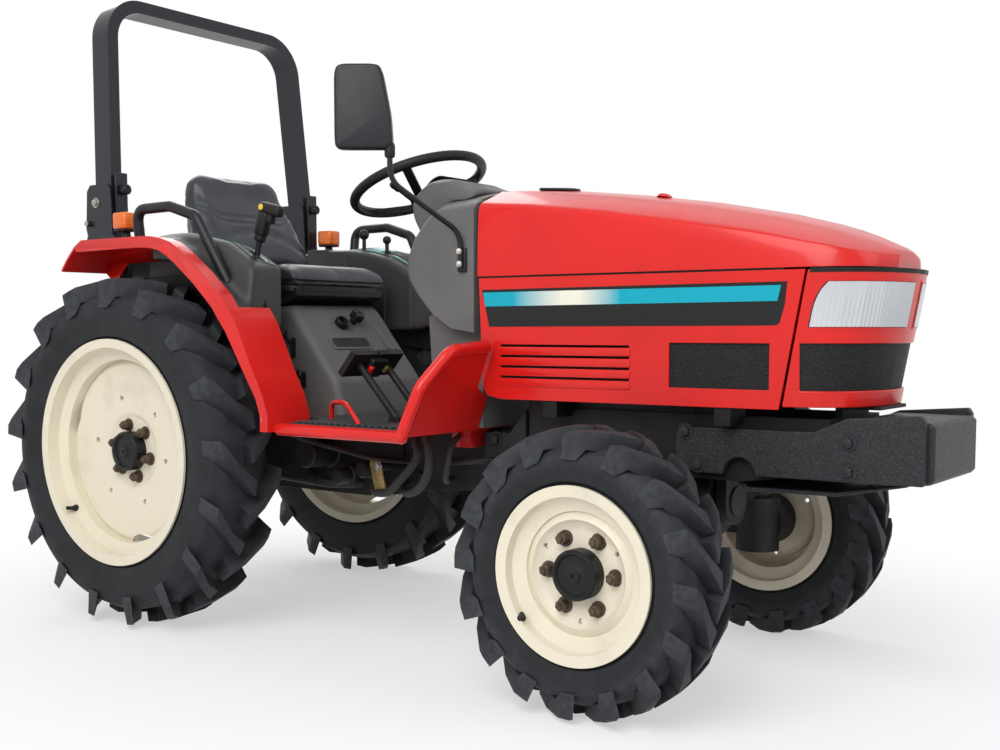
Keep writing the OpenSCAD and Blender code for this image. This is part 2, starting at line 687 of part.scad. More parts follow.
// Outline of the hoop in Y and Z from the fold hinge's height, with rounded corners
hoop_top = rops_top_z - fold_z - rops_width / 2;
hoop_corner = rops_y - 0.041 * (hoop_top - 125);
hoop_arc = [for (k = [0:12]) let (a = 2.34 + 87.66 * k / 12)
    [hoop_corner - 112 + 112 * cos(a), hoop_top - 112 + 112 * sin(a)]];
hoop_half = concat([[rops_y, 3], [rops_y, 125]], hoop_arc);
hoop_path = concat(hoop_half, [for (i = [len(hoop_half) - 1:-1:0]) [-hoop_half[i][0], hoop_half[i][1]]]);

module hoop_bar(width, depth)
    rotate([90, 0, 90]) translate([0, 0, -depth / 2]) linear_extrude(depth)
        polygon(strip(moved(hoop_path, -width / 2), moved(hoop_path, width / 2)));

// Half gap between the bracket plates of a post
rops_slot = rops_width / 2 + 4;

module rops_base() color("#3f4a57") both() {
    block([rops_x - 30, 305, rear_z + 110], [rops_x + 30, 365, 1126]);
    block([rops_x - 30, 305, rear_z + 110], [50, 362, rear_z + 160]);
    block([rops_x - 20, 365, 1000], [rops_x + 20, 378, 1060]);
    block([rops_x - 78, 305, roof_z + 3], [rops_x + 55, rops_y + rops_slot + plate_t, 1126]);
    for (y = [rops_y - rops_slot - plate_t, rops_y + rops_slot])
        side_plate([[rops_x - 72, 1120], [fold_x - 18, 1150], [rops_x - 74, 1262], [rops_x - 58, 1280],
                    [rops_x + 24, 1280], [rops_x + 38, 1262], [rops_x + 46, 1120]], y, y + plate_t);
    block([rops_x + 47, rops_y - 20, 1120], [rops_x + 55, rops_y + 20, 1312]);
    translate([fold_x, 0, fold_z]) bar_y(9, rops_y - rops_slot - plate_t, rops_y + rops_slot + plate_t + 8);
}

module rops_hoop() color("#3f4a57") translate([fold_x, 0, fold_z]) difference() {
    union() {
        translate([rops_x - fold_x, 0, 0]) rotate([0, -rops_lean, 0]) difference() {
            hoop_bar(rops_width, rops_depth);
            hoop_bar(rops_width - 2 * rops_wall, rops_depth - 2 * rops_wall);
        }
        both() translate([0, rops_y - 15, 0]) {
            bar_y(20, 0, 30);
            translate([0, 0, -12]) cube([30, 30, 44]);
        }
    }
    both() bar_y(9 + fit, rops_y - 60, rops_y + 60);
}

// Seat and floor

module seat_base() color("#232425") {
    block([-120, -120, 840], [120, 120, 930]);
    side_plate([[-70, 922], [-74, 968], [346, 968], [346, 944], [300, 922]], -186, 186);
}

module seat_cushion() color("#1c1d1e")
    side_plate([[-40, 968], [-60, 985], [-40, 1012], [100, 1026], [300, 1036], [345, 1022],
                [364, 995], [358, 968]], -210, 210);

module seat_back() color("#1c1d1e") intersection() {
    side_plate([[-74, 968], [-100, 1010], [-135, 1150], [-158, 1290], [-154, 1336], [-130, 1354],
                [-104, 1332], [-84, 1262], [-40, 1190], [0, 1110], [24, 1018.7], [-40, 1012.2],
                [-60.2, 985], [-60.2, 968]], -226, 226);
    translate([-300, 0, 0]) rotate([90, 0, 90]) linear_extrude(400)
        polygon([[-212, 900], [-224, 1080], [-208, 1240], [-188, 1314], [-150, 1348], [-96, 1360],
                 [96, 1360], [150, 1348], [188, 1314], [208, 1240], [224, 1080], [212, 900]]);
}

// Side outline of the cover over the gearbox
tunnel_side = [[128, 915], [318, 917], [372, 860], [442, 776], [500, 705], [508, 688], [528, step_z + 4]];

module tunnel_cover() color("#6f767b") difference() {
    side_plate(concat(tunnel_side, [[128, step_z + 4]]), -190, 190);
    side_plate(concat(moved(tunnel_side, 6), [[508, 500], [100, 500], [100, 909]]), -184, 184);
}

// Point of the toe board at height h over the step
function toe(y, h) = [1012 + h * tan(20), y, step_z + h];

module steps() color("#c8202b") {
    translate([0, 0, step_z - 2]) linear_extrude(6) polygon([
        [400, -378], [594, -378], [594, 8 - step_y], [1014, 8 - step_y], [1014, step_y - 8],
        [594, step_y - 8], [594, 378], [400, 378], [400, 184], [521, 184], [521, -184], [400, -184]
    ]);
    both() {
        block([600, 130, step_z - 50], [660, 200, step_z]);
        block([930, 120, step_z - 50], [990, 200, step_z]);
        translate([0, step_y, step_z]) bar_x(16, 594, 1012);
        translate([1012, step_y, step_z]) sphere(r = 17);
        tube([toe(step_y, 0), toe(480, 120), toe(404, 206), toe(262, 216)], 50, 16);
        translate(toe(0, 0)) rotate([0, 20, 0]) rotate([0, -90, 0]) translate([0, 0, -3]) linear_extrude(6)
            polygon([[0, 200], [0, 490], [124, 476], [214, 400], [228, 270], [226, 252], [120, 252], [90, 200]]);
    }
}

mat_z = step_z + 4;

module floor_mats() color("#1b1c1d") translate([0, 0, mat_z]) linear_extrude(10) polygon([
    [536, -370], [602, -370], [602, -478], [1004, -478], [1004, -202], [846, -202],
    [846, 202], [1004, 202], [1004, 478], [602, 478], [602, 370], [536, 370]
]);

module pedals() color("#202122") {
    for (y = [-330, -228, 300]) {
        block([836, y - 15, mat_z + 10], [872, y + 15, mat_z + 30]);
        bar([852, y, mat_z + 24], [720, y, 755], 10);
        translate([718, y, 757]) rotate([0, -50, 0]) translate([-38, -46, -9]) cube([76, 92, 18]);
    }
}

module levers() color("#1d1e1f") {
    for (f = lever_feet) translate([f[0], f[1], f[2]]) cylinder(r = 14, h = f[3] - f[2] + 10);
    translate([lever_feet[0][0], lever_feet[0][1], lever_feet[0][3]]) {
        bar([0, 0, 0], [23, 0, 62], 8);
        translate([18, 0, 48]) rotate([0, 20, 0]) translate([-20, -16, 0]) cube([38, 32, 76]);
        translate([42, 0, 112]) rotate([0, 14, 0]) translate([-22, -16, 0]) cube([84, 32, 30]);
    }
    translate([lever_feet[1][0], lever_feet[1][1], lever_feet[1][3]]) {
        cylinder(r = 7, h = 52);
        translate([0, 0, 48]) sphere(r = 17);
    }
    translate([lever_feet[2][0], lever_feet[2][1], lever_feet[2][3]]) {
        cylinder(r = 6, h = 40);
        translate([0, 0, 40]) sphere(r = 14);
    }
}

module side_mirror() color("#2c2e30") {
    tube([[1003, -256, 1000], [1003, -256, 1090], [940, -452, 1207], [940, -452, 1300]], 34, 7);
    block([990, -253, 992], [1016, -244, 1052]);
    translate([886, -486, 1383]) rotate([0, 0, 36]) translate([0, 22, 0])
        rotate([90, 0, 0]) linear_extrude(44)
            polygon([[-62, -101], [-69, -86], [-69, 80], [-58, 101], [36, 101], [48, 86], [68, -20],
                     [73, -101]]);
}

// Hitch

module hitch_bracket() color("#3a3c3e") {
    difference() {
        for (y = [-32, 20])
            side_plate([[-190, 600], [-190, 780], [-236, 700], [-244, 655], [-230, 630]], y, y + 12);
        translate([-216, 0, 664]) bar_y(9.65, -50, 50);
    }
    difference() {
        union() {
            block([-440, -30, 330], [-60, 30, 350]);
            translate([-440, 0, 330]) cylinder(r = 30, h = 20);
            block([-120, -40, 350], [-70, 40, 372]);
        }
        translate([-440, 0, 320]) cylinder(r = 11.2, h = 40);
    }
}

// Side outline of a bar with round ends between two points in X and Z
module strap(a, b, r0, r1, y0, y1) {
    for (p = [[a, r0], [b, r1]]) translate([p[0][0], 0, p[0][1]]) bar_y(p[1], y0, y1);
    n = unit([a[1] - b[1], b[0] - a[0]]);
    w = min(r0, r1) * 0.8;
    side_plate([a + w * n, b + w * n, b - w * n, a - w * n], y0, y1);
}

module lower_links() color("#34373a") {
    a = [link_x, link_z];
    b = [link_end_x, link_z - link_len * sin(link_slope)];
    s = [seat_x, link_z - seat_drop];
    y0 = link_y - link_bar / 2;
    y1 = link_y + link_bar / 2;
    both() difference() {
        union() {
            strap(a, b, 28, eye_r, y0, y1);
            translate([s[0], 0, s[1]]) bar_y(10, y0, y1 + 20);
            translate([b[0], 0, b[1]]) bar_y(24, link_y - 20, link_y + 20);
        }
        translate([a[0], 0, a[1]]) bar_y(14 + fit, y0 - 5, y1 + 5);
        translate([b[0], 0, b[1]]) bar_y(11.15, link_y - 30, link_y + 30);
    }
}

module lift_arms() color("#34373a") {
    a = [link_x, rock_z];
    b = [seat_x, rock_z - seat_drop];
    y0 = link_y - link_bar / 2;
    y1 = link_y + link_bar / 2;
    both() difference() {
        union() {
            strap(a, b, 42, 22, y0, y1);
            translate([b[0], 0, b[1]]) bar_y(10, y0, y1 + 20);
        }
        translate([a[0], 0, a[1]]) bar_y(22 + fit, y0 - 5, y1 + 5);
    }
}

module lift_rods() color("#34373a") {
    a = [seat_x, rock_z - seat_drop];
    b = [seat_x, link_z - seat_drop];
    y0 = link_y + link_bar / 2 + 2;
    both() difference() {
        strap(a, b, 20, 20, y0, y0 + 14);
        for (p = [a, b]) translate([p[0], 0, p[1]]) bar_y(10 + fit, y0 - 5, y0 + 20);
    }
}

in_frame() engine_block();
in_frame() transmission_case();
in_frame() rear_axle_housing();
in_frame() front_frame();
in_frame() front_axle_beam();
in_frame() weight_bracket();
in_frame() front_weight();
in_frame() hood();
in_frame() side_panel_right();
in_frame() side_panel_left();
in_frame() nose_panel();
in_frame() grilles();
in_frame() headlamps();
in_frame() dash_cowl();
in_frame() instrument_panel();
in_frame() steering_column();
in_frame() steering_wheel();
in_frame() fender_right();
in_frame() fender_left();
in_frame() consoles();
in_frame() grab_rails();
in_frame() turn_signals();
in_frame() rops_base();
in_frame() rops_hoop();
in_frame() seat_base();
in_frame() seat_cushion();
in_frame() seat_back();
in_frame() tunnel_cover();
in_frame() steps();
in_frame() floor_mats();
in_frame() pedals();
in_frame() levers();
in_frame() side_mirror();
in_frame() hitch_bracket();
in_frame() knuckle_right();
in_frame() knuckle_left();
in_frame() tie_rod();
in_frame() front_rim_right();
in_frame() front_rim_left();
in_frame() front_tyre_right();
in_frame() front_tyre_left();
in_frame() rear_rim_right();
in_frame() rear_rim_left();
in_frame() rear_tyre_right();
in_frame() rear_tyre_left();
in_frame() lower_links();
in_frame() lift_arms();
in_frame() lift_rods();
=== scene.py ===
"""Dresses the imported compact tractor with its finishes, seat, wheel hardware, lamps, bands and controls."""

import json
import math

import bmesh
import bpy
from mathutils import Matrix, Vector
from mathutils.bvhtree import BVHTree


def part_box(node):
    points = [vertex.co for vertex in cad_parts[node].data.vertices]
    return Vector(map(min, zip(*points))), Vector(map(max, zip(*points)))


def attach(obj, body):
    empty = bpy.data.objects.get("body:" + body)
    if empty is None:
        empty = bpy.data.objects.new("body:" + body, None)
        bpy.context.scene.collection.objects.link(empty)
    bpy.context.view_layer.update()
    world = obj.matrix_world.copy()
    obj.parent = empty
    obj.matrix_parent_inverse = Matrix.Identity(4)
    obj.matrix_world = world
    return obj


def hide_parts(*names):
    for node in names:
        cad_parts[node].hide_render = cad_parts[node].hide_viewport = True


bl_info = {
    "name": "Compact tractor dressing",
    "version": (1, 0, 0),
    "blender": (4, 5, 0),
    "location": "View3D > Sidebar > Tractor",
    "description": "Gives the packed tractor its paint, rubber, vinyl, lamps, bands and small hardware",
    "category": "Object",
}

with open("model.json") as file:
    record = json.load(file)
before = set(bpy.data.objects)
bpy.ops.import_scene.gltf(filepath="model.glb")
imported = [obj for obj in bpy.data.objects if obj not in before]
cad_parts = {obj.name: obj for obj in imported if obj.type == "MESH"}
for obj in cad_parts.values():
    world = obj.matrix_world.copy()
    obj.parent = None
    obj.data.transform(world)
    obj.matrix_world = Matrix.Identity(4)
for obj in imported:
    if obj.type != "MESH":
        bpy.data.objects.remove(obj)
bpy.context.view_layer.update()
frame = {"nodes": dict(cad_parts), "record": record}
NODES = frame["nodes"]
SLOT_OF = {part["node"]: part["material_slot"] for part in frame["record"]["subparts"]}
BODY_OF = {node: body for body, held in frame["record"]["behaviour"]["bodies"].items() for node in held}

# Places are given in millimetres from the rear axle's middle on the ground, as in the part's source
REAR_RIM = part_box("rear_rim_left")
AXLE_X = (REAR_RIM[0].x + REAR_RIM[1].x) / 2
SIDES = {"left": 1, "right": -1}
# Height in millimetres from which rays look down on the tractor's skin
OVERHEAD = 1500
DOWN = (0, 0, -1)
# Points of a CAD node's mesh that are closer than this are one point, in metres
WELD = 1e-5


def spot(x, y, z):
    """Point in the frame, from millimetres counted from the rear axle."""
    return Vector((AXLE_X + x / 1000, y / 1000, z / 1000))


class TractorColours(bpy.types.PropertyGroup):
    """Colours of the paints, plastics and films."""

    def tint(name, about, default):
        return bpy.props.FloatVectorProperty(
            name=name, description=about, subtype="COLOR", size=3, min=0, max=1, default=default)

    red: tint("Red", "Body paint", (0.66, 0.012, 0.009))
    cream: tint("Cream", "Wheel paint", (0.76, 0.70, 0.56))
    slate: tint("Slate", "Roll bar paint", (0.009, 0.012, 0.017))
    grey: tint("Grey", "Moulded cowl and tunnel", (0.128, 0.127, 0.126))
    dark_grey: tint("Dark grey", "Moulded consoles", (0.046, 0.047, 0.048))
    rubber: tint("Rubber", "Tyres", (0.013, 0.014, 0.016))
    vinyl: tint("Vinyl", "Seat cover", (0.020, 0.023, 0.030))
    amber: tint("Amber", "Turn lamps", (0.85, 0.17, 0.008))
    turquoise: tint("Turquoise", "Stripe on the side bands", (0.002, 0.36, 0.48))
    film: tint("Film", "Dark film of the side bands", (0.007, 0.007, 0.008))


class TractorSizes(bpy.types.PropertyGroup):
    """Sizes of the small hardware and of the padding."""

    def length(name, about, default):
        return bpy.props.FloatProperty(name=name, description=about, unit="LENGTH", default=default)

    nut_radius: length("Wheel nut", "Radius over a wheel nut's corners", 0.0135)
    nut_height: length("Wheel nut height", "How far a wheel nut stands out", 0.024)
    cap_radius: length("Hub cap", "Radius of the black hub caps", 0.056)
    bolt_radius: length("Bolt head", "Radius over the corners of a bracket bolt", 0.012)
    rib_pitch: length("Mat ribs", "Distance between the floor mat's ribs", 0.023)
    seat_voxel: length("Seat voxel", "Voxel of the seat pads before they swell", 0.0055)
    seat_swell: length("Seat swell", "Most that the seat cover may bulge", 0.012)
    mould_voxel: length("Moulding voxel", "Voxel of the plastic mouldings before they are smoothed", 0.005)


class StageSettings(bpy.types.PropertyGroup):
    """Camera and studio."""

    camera_spot: bpy.props.FloatVectorProperty(
        name="Camera", description="Camera's place from the rear axle", subtype="TRANSLATION",
        default=(2.9524, -2.7465, 0.8472))
    yaw: bpy.props.FloatProperty(
        name="Yaw", description="Camera's turn to the rear from square on", subtype="ANGLE",
        default=math.radians(36.23))
    pitch: bpy.props.FloatProperty(
        name="Pitch", description="Camera's downward tilt", subtype="ANGLE", default=math.radians(4.40))
    lens: bpy.props.FloatProperty(name="Lens", description="Focal length in millimetres", default=44.53)
    rise: bpy.props.FloatProperty(name="Rise", description="Vertical lens shift", default=0.0493)
    floor_size: bpy.props.FloatProperty(
        name="Floor", description="Edge of the floor", unit="LENGTH", default=60.0)


# Shader building


def new_finish(name, colour, roughness, metallic=0.0, specular=0.25):
    """A material whose principled shader has one colour."""
    material = bpy.data.materials.new(name)
    material.use_nodes = True
    shader = material.node_tree.nodes["Principled BSDF"]
    shader.inputs["Base Color"].default_value = (*colour, 1)
    shader.inputs["Roughness"].default_value = roughness
    shader.inputs["Metallic"].default_value = metallic
    shader.inputs["Specular IOR Level"].default_value = specular
    return material, shader


def add_node(material, kind, **values):
    """A shader node with some of its settings."""
    made = material.node_tree.nodes.new(kind)
    for key, value in values.items():
        setattr(made, key, value)
    return made


def link(material, output, target):
    """Joins two sockets."""
    material.node_tree.links.new(output, target)


def object_place(material, scale=(1, 1, 1), turn=(0, 0, 0)):
    """Object coordinates through a Mapping node."""
    place = add_node(material, "ShaderNodeTexCoord")
    mapping = add_node(material, "ShaderNodeMapping")
    mapping.inputs["Scale"].default_value = scale
    mapping.inputs["Rotation"].default_value = turn
    link(material, place.outputs["Object"], mapping.inputs["Vector"])
    return mapping.outputs["Vector"]


def noise(material, scale, detail=4.0, stretch=(1, 1, 1)):
    """Noise on object coordinates."""
    made = add_node(material, "ShaderNodeTexNoise")
    made.inputs["Scale"].default_value = scale
    made.inputs["Detail"].default_value = detail
    link(material, object_place(material, stretch), made.inputs["Vector"])
    return made.outputs["Fac"]


def tones(material, value, *stops):
    """Colours along a value."""
    ramp = add_node(material, "ShaderNodeValToRGB")
    elements = ramp.color_ramp.elements
    while len(elements) < len(stops):
        elements.new(0.5)
    for element, (place, colour) in zip(elements, sorted(stops, key=lambda stop: stop[0])):
        element.position = place
        element.color = (*colour, 1)
    link(material, value, ramp.inputs["Fac"])
    return ramp.outputs["Color"]


def span(material, value, low, high):
    """Value stretched from 0 to 1 onto a new range."""
    made = add_node(material, "ShaderNodeMapRange")
    made.inputs["To Min"].default_value = low
    made.inputs["To Max"].default_value = high
    link(material, value, made.inputs["Value"])
    return made.outputs["Result"]


def bump(material, shader, height, strength, distance):
    """Bump from a height value."""
    made = add_node(material, "ShaderNodeBump")
    made.inputs["Strength"].default_value = strength
    made.inputs["Distance"].default_value = distance
    link(material, height, made.inputs["Height"])
    link(material, made.outputs["Normal"], shader.inputs["Normal"])


def edges(material, low, high):
    """1 on sharp convex edges, 0 elsewhere."""
    geometry = add_node(material, "ShaderNodeNewGeometry")
    made = add_node(material, "ShaderNodeMapRange")
    made.inputs["From Min"].default_value = low
    made.inputs["From Max"].default_value = high
    link(material, geometry.outputs["Pointiness"], made.inputs["Value"])
    return made.outputs["Result"]


def mixed(material, share, first, second):
    """Colour between two colour sockets."""
    made = add_node(material, "ShaderNodeMix", data_type="RGBA")
    link(material, share, made.inputs["Factor"])
    link(material, first, made.inputs["A"])
    link(material, second, made.inputs["B"])
    return made.outputs["Result"]


def shade(colour, factor):
    """A colour made lighter or darker."""
    return tuple(min(1.0, channel * factor) for channel in colour)


def cloud(material, shader, value, *stops):
    """Base colour that varies along a value."""
    link(material, tones(material, value, *stops), shader.inputs["Base Color"])


def uneven(material, shader, value, low, high):
    """Roughness that varies along a value."""
    link(material, span(material, value, low, high), shader.inputs["Roughness"])


def glossy_paint(name, colour, coat=0.3):
    """Sprayed gloss paint with faint orange peel and slightly uneven gloss."""
    material, shader = new_finish(name, colour, 0.3, specular=0.3)
    cloud(material, shader, noise(material, 5.0, 5), (0.3, shade(colour, 0.9)), (0.7, shade(colour, 1.06)))
    uneven(material, shader, noise(material, 24.0, 3), 0.24, 0.36)
    shader.inputs["Coat Weight"].default_value = coat
    shader.inputs["Coat Roughness"].default_value = 0.07
    bump(material, shader, noise(material, 700.0, 1), 0.04, 0.0005)
    return material


def wheel_paint(colours):
    """Cream wheel enamel with a little grime."""
    colour = tuple(colours.cream)
    material, shader = new_finish("cream_enamel", colour, 0.42)
    cloud(material, shader, noise(material, 8.0, 8), (0.24, shade(colour, 0.84)), (0.42, colour),
          (0.8, shade(colour, 1.03)))
    uneven(material, shader, noise(material, 30.0, 4), 0.34, 0.55)
    shader.inputs["Coat Weight"].default_value = 0.2
    bump(material, shader, noise(material, 260.0, 3), 0.06, 0.0008)
    return material


def tyre_rubber(colours):
    """Matt tyre rubber, dusty in patches; its tread faces and lug edges lighter with dust, scuffs and painted
    highlight.
    """
    colour = tuple(colours.rubber)
    material, shader = new_finish("tyre_rubber", colour, 0.62, specular=0.2)
    dust = tones(material, noise(material, 7.0, 7), (0.35, colour), (0.75, shade(colour, 1.7)))
    # Lighter colour for the lugs' convex edges: scuffs with a painted highlight.
    scuff_and_edge_highlight = tones(material, noise(material, 60.0, 4), (0.3, shade(colour, 2.2)), (0.7, shade(colour, 4.2)))
    facing = add_node(material, "ShaderNodeTexCoord")
    parts = add_node(material, "ShaderNodeSeparateXYZ")
    link(material, facing.outputs["Normal"], parts.inputs["Vector"])
    sideways = add_node(material, "ShaderNodeMath", operation="ABSOLUTE")
    link(material, parts.outputs["Y"], sideways.inputs[0])
    # Paler, bluish colour on faces that do not face sideways, the tread: dust with a painted highlight.
    tread = tones(material, noise(material, 12.0, 6), (0.3, shade(colour, 1.4)), (0.7, (0.040, 0.044, 0.052)))
    dust_and_tread_highlight = mixed(material, span(material, sideways.outputs["Value"], 1.0, 0.0), dust, tread)
    link(material, mixed(material, edges(material, 0.51, 0.58), dust_and_tread_highlight, scuff_and_edge_highlight), shader.inputs["Base Color"])
    uneven(material, shader, noise(material, 40.0, 5), 0.48, 0.74)
    bump(material, shader, noise(material, 180.0, 6), 0.18, 0.002)
    return material


def moulded_plastic(name, colour, grain, roughness):
    """Moulded plastic with a fine grain."""
    material, shader = new_finish(name, colour, roughness)
    cloud(material, shader, noise(material, 6.0, 5), (0.3, shade(colour, 0.88)), (0.7, shade(colour, 1.1)))
    uneven(material, shader, noise(material, 50.0, 3), roughness - 0.06, roughness + 0.1)
    bump(material, shader, noise(material, grain, 2), 0.16, 0.0008)
    return material


def cast_iron(name, colour):
    """Painted casting with a sandy skin and oily dirt."""
    material, shader = new_finish(name, colour, 0.5)
    cloud(material, shader, noise(material, 14.0, 9), (0.3, shade(colour, 0.45)), (0.55, colour),
          (0.85, shade(colour, 1.7)))
    uneven(material, shader, noise(material, 20.0, 5), 0.36, 0.7)
    bump(material, shader, noise(material, 160.0, 5), 0.3, 0.002)
    return material


def speckled_casting(colour):
    """Black rough-cast weight with pale speckles in its grain."""
    material, shader = new_finish("grain_black_paint", colour, 0.45)
    cloud(material, shader, noise(material, 330.0, 3), (0.45, colour), (0.7, shade(colour, 2.6)))
    uneven(material, shader, noise(material, 90.0, 3), 0.32, 0.62)
    bump(material, shader, noise(material, 260.0, 4), 0.55, 0.0022)
    return material


def seat_cover(colours):
    """Grained black vinyl with a soft shine."""
    colour = tuple(colours.vinyl)
    material, shader = new_finish("seat_vinyl_cover", colour, 0.36, specular=0.5)
    cloud(material, shader, noise(material, 10.0, 5), (0.3, shade(colour, 0.75)), (0.75, shade(colour, 1.5)))
    grain = add_node(material, "ShaderNodeTexVoronoi")
    grain.inputs["Scale"].default_value = 620.0
    link(material, object_place(material), grain.inputs["Vector"])
    uneven(material, shader, noise(material, 26.0, 4), 0.3, 0.46)
    bump(material, shader, grain.outputs["Distance"], 0.16, 0.0008)
    return material


def perforated_steel():
    """Black punched sheet: paler web round dark round holes."""
    material, shader = new_finish("punched_sheet", (0.012, 0.012, 0.013), 0.55, specular=0.15)
    holes = add_node(material, "ShaderNodeTexVoronoi")
    holes.inputs["Scale"].default_value = 330.0
    link(material, object_place(material), holes.inputs["Vector"])
    depth = holes.outputs["Distance"]
    cloud(material, shader, depth, (0.25, (0.004, 0.004, 0.004)), (0.6, (0.022, 0.023, 0.024)))
    bump(material, shader, depth, 0.6, 0.002)
    return material


def ribbed_lens(name, colour, pitch, turn, strength):
    """Moulded lamp glass with fine upright ribs, lighter and darker along them as painted highlight and
    shade.
    """
    material, shader = new_finish(name, colour, 0.08)
    ribs = add_node(material, "ShaderNodeTexWave", wave_type="BANDS", bands_direction="X", wave_profile="SIN")
    ribs.inputs["Scale"].default_value = math.pi / 10 / pitch
    link(material, object_place(material, turn=turn), ribs.inputs["Vector"])
    # Colour bands that follow the ribs: painted highlight and shade.
    cloud(material, shader, ribs.outputs["Fac"], (0.2, shade(colour, 0.82)), (0.8, shade(colour, 1.08)))
    shader.inputs["Coat Weight"].default_value = 0.6
    shader.inputs["Coat Roughness"].default_value = 0.04
    bump(material, shader, ribs.outputs["Fac"], strength, 0.002)
    return material


def bare_steel(name, colour, roughness, metallic=1.0):
    """Metal with uneven polish and spots of rust or dirt."""
    material, shader = new_finish(name, colour, roughness, metallic)
    cloud(material, shader, noise(material, 90.0, 6), (0.3, shade(colour, 0.5)), (0.6, colour))
    uneven(material, shader, noise(material, 140.0, 4), roughness, roughness + 0.25)
    bump(material, shader, noise(material, 400.0, 4), 0.2, 0.0006)
    return material


def stripe_film(colours):
    """Turquoise film that fades to pale and back along the machine."""
    bright = tuple(colours.turquoise)
    material, shader = new_finish("stripe_film", bright, 0.28)
    place = add_node(material, "ShaderNodeTexCoord")
    parts = add_node(material, "ShaderNodeSeparateXYZ")
    link(material, place.outputs["Object"], parts.inputs["Vector"])
    along = add_node(material, "ShaderNodeMapRange")
    along.inputs["From Min"].default_value = spot(1060, 0, 0).x
    along.inputs["From Max"].default_value = spot(1860, 0, 0).x
    link(material, parts.outputs["X"], along.inputs["Value"])
    pale = (0.80, 0.78, 0.66)
    cloud(material, shader, along.outputs["Result"],
          (0.12, bright), (0.30, pale), (0.36, pale), (0.50, bright))
    shader.inputs["Coat Weight"].default_value = 0.1
    bump(material, shader, noise(material, 500.0, 2), 0.02, 0.0004)
    return material


def mirror_glass():
    """Silvered mirror."""
    material, shader = new_finish("mirror_glass", (0.86, 0.88, 0.9), 0.03, 1.0)
    uneven(material, shader, noise(material, 30.0, 3), 0.02, 0.06)
    return material


FINISHES = {}


def mix_finishes(colours):
    """All the finishes, by the record's slot or by the name that new pieces use."""
    FINISHES.update(
        red_paint=glossy_paint("red_gloss", tuple(colours.red), 0.2),
        cream_paint=wheel_paint(colours),
        tyre_black=tyre_rubber(colours),
        grey_plastic=moulded_plastic("grey_moulding", tuple(colours.grey), 900.0, 0.5),
        console_grey=moulded_plastic("dark_grey_moulding", tuple(colours.dark_grey), 900.0, 0.45),
        black_plastic=moulded_plastic("black_moulding", (0.010, 0.010, 0.011), 800.0, 0.45),
        cast_grey=cast_iron("cast_dark_iron", (0.020, 0.020, 0.021)),
        frame_black=cast_iron("frame_black_paint", (0.009, 0.009, 0.010)),
        grain_black=speckled_casting((0.017, 0.018, 0.020)),
        mesh_black=perforated_steel(),
        lamp_clear=ribbed_lens("headlamp_glass", (0.43, 0.46, 0.50), 0.0085, (0, 0, math.pi / 2), 0.5),
        lens_clear=glossy_paint("lamp_front_glass", (0.55, 0.575, 0.61), 0.5),
        amber=ribbed_lens("amber_glass", tuple(colours.amber), 0.006, (0, math.pi / 2, 0), 0.3),
        rail_black=moulded_plastic("rail_black_paint", (0.014, 0.015, 0.018), 500.0, 0.34),
        roll_bar_blue=glossy_paint("roll_bar_slate", tuple(colours.slate), 0.12),
        seat_vinyl=seat_cover(colours),
        mat_rubber=moulded_plastic("mat_rubber_black", (0.045, 0.046, 0.047), 300.0, 0.68),
        turquoise=stripe_film(colours),
        film=glossy_paint("dark_film", tuple(colours.film), 0.05),
        rust=bare_steel("rusty_nut_steel", (0.13, 0.095, 0.07), 0.5, 0.6),
        zinc=bare_steel("zinc_bolt_steel", (0.55, 0.53, 0.47), 0.32),
        brass_zinc=bare_steel("yellow_zinc_plate", (0.42, 0.31, 0.13), 0.4, 0.7),
        teal=glossy_paint("teal_marking", (0.02, 0.26, 0.25), 0.2),
        yellow=glossy_paint("yellow_button", (0.75, 0.5, 0.02), 0.4),
        pale=glossy_paint("pale_dial", (0.6, 0.62, 0.62), 0.3),
        mirror=mirror_glass(),
    )


# Mesh building


def piece(bm, name, finish, body="chassis", smooth=32):
    """Turns a bmesh into a finished piece that rides on a body."""
    bmesh.ops.recalc_face_normals(bm, faces=bm.faces)
    mesh = bpy.data.meshes.new(name)
    bm.to_mesh(mesh)
    bm.free()
    mesh.materials.append(FINISHES[finish])
    made = bpy.data.objects.new(name, mesh)
    bpy.context.scene.collection.objects.link(made)
    shade_smooth(made)
    mesh.set_sharp_from_angle(angle=math.radians(smooth))
    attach(made, body)
    return made


def axes(origin, outward, up=Vector((0, 0, 1))):
    """Matrix whose local Z points outward from a point."""
    z = Vector(outward).normalized()
    x = Vector(up).cross(z)
    x = x.normalized() if x.length > 1e-6 else Vector((1, 0, 0))
    y = z.cross(x)
    return Matrix.Translation(origin) @ Matrix((x, y, z)).transposed().to_4x4()


def join_in(bm, shape, matrix=Matrix()):
    """Moves a shape to its place and adds it to a piece."""
    bmesh.ops.transform(shape, matrix=matrix, verts=shape.verts)
    bmesh.ops.recalc_face_normals(shape, faces=shape.faces)
    mesh = bpy.data.meshes.new("shape")
    shape.to_mesh(mesh)
    shape.free()
    bm.from_mesh(mesh)
    bpy.data.meshes.remove(mesh)


def round_edges(shape, radius, segments=3, some=None, clamp=False):
    """Bevels some edges of a shape, or all of them."""
    bmesh.ops.bevel(shape, geom=shape.edges[:] if some is None else some, offset=radius, offset_type="OFFSET",
                    segments=segments, profile=0.5, affect="EDGES", material=-1, clamp_overlap=clamp)


def raise_faces(shape, faces, way):
    """Extrudes faces, moves the new ones and returns their points."""
    raised = bmesh.ops.extrude_face_region(shape, geom=faces)["geom"]
    points = [part for part in raised if isinstance(part, bmesh.types.BMVert)]
    bmesh.ops.translate(shape, vec=way, verts=points)
    return points


def shade_smooth(made):
    """Smooth shading on every face of a piece."""
    made.data.polygons.foreach_set("use_smooth", [True] * len(made.data.polygons))


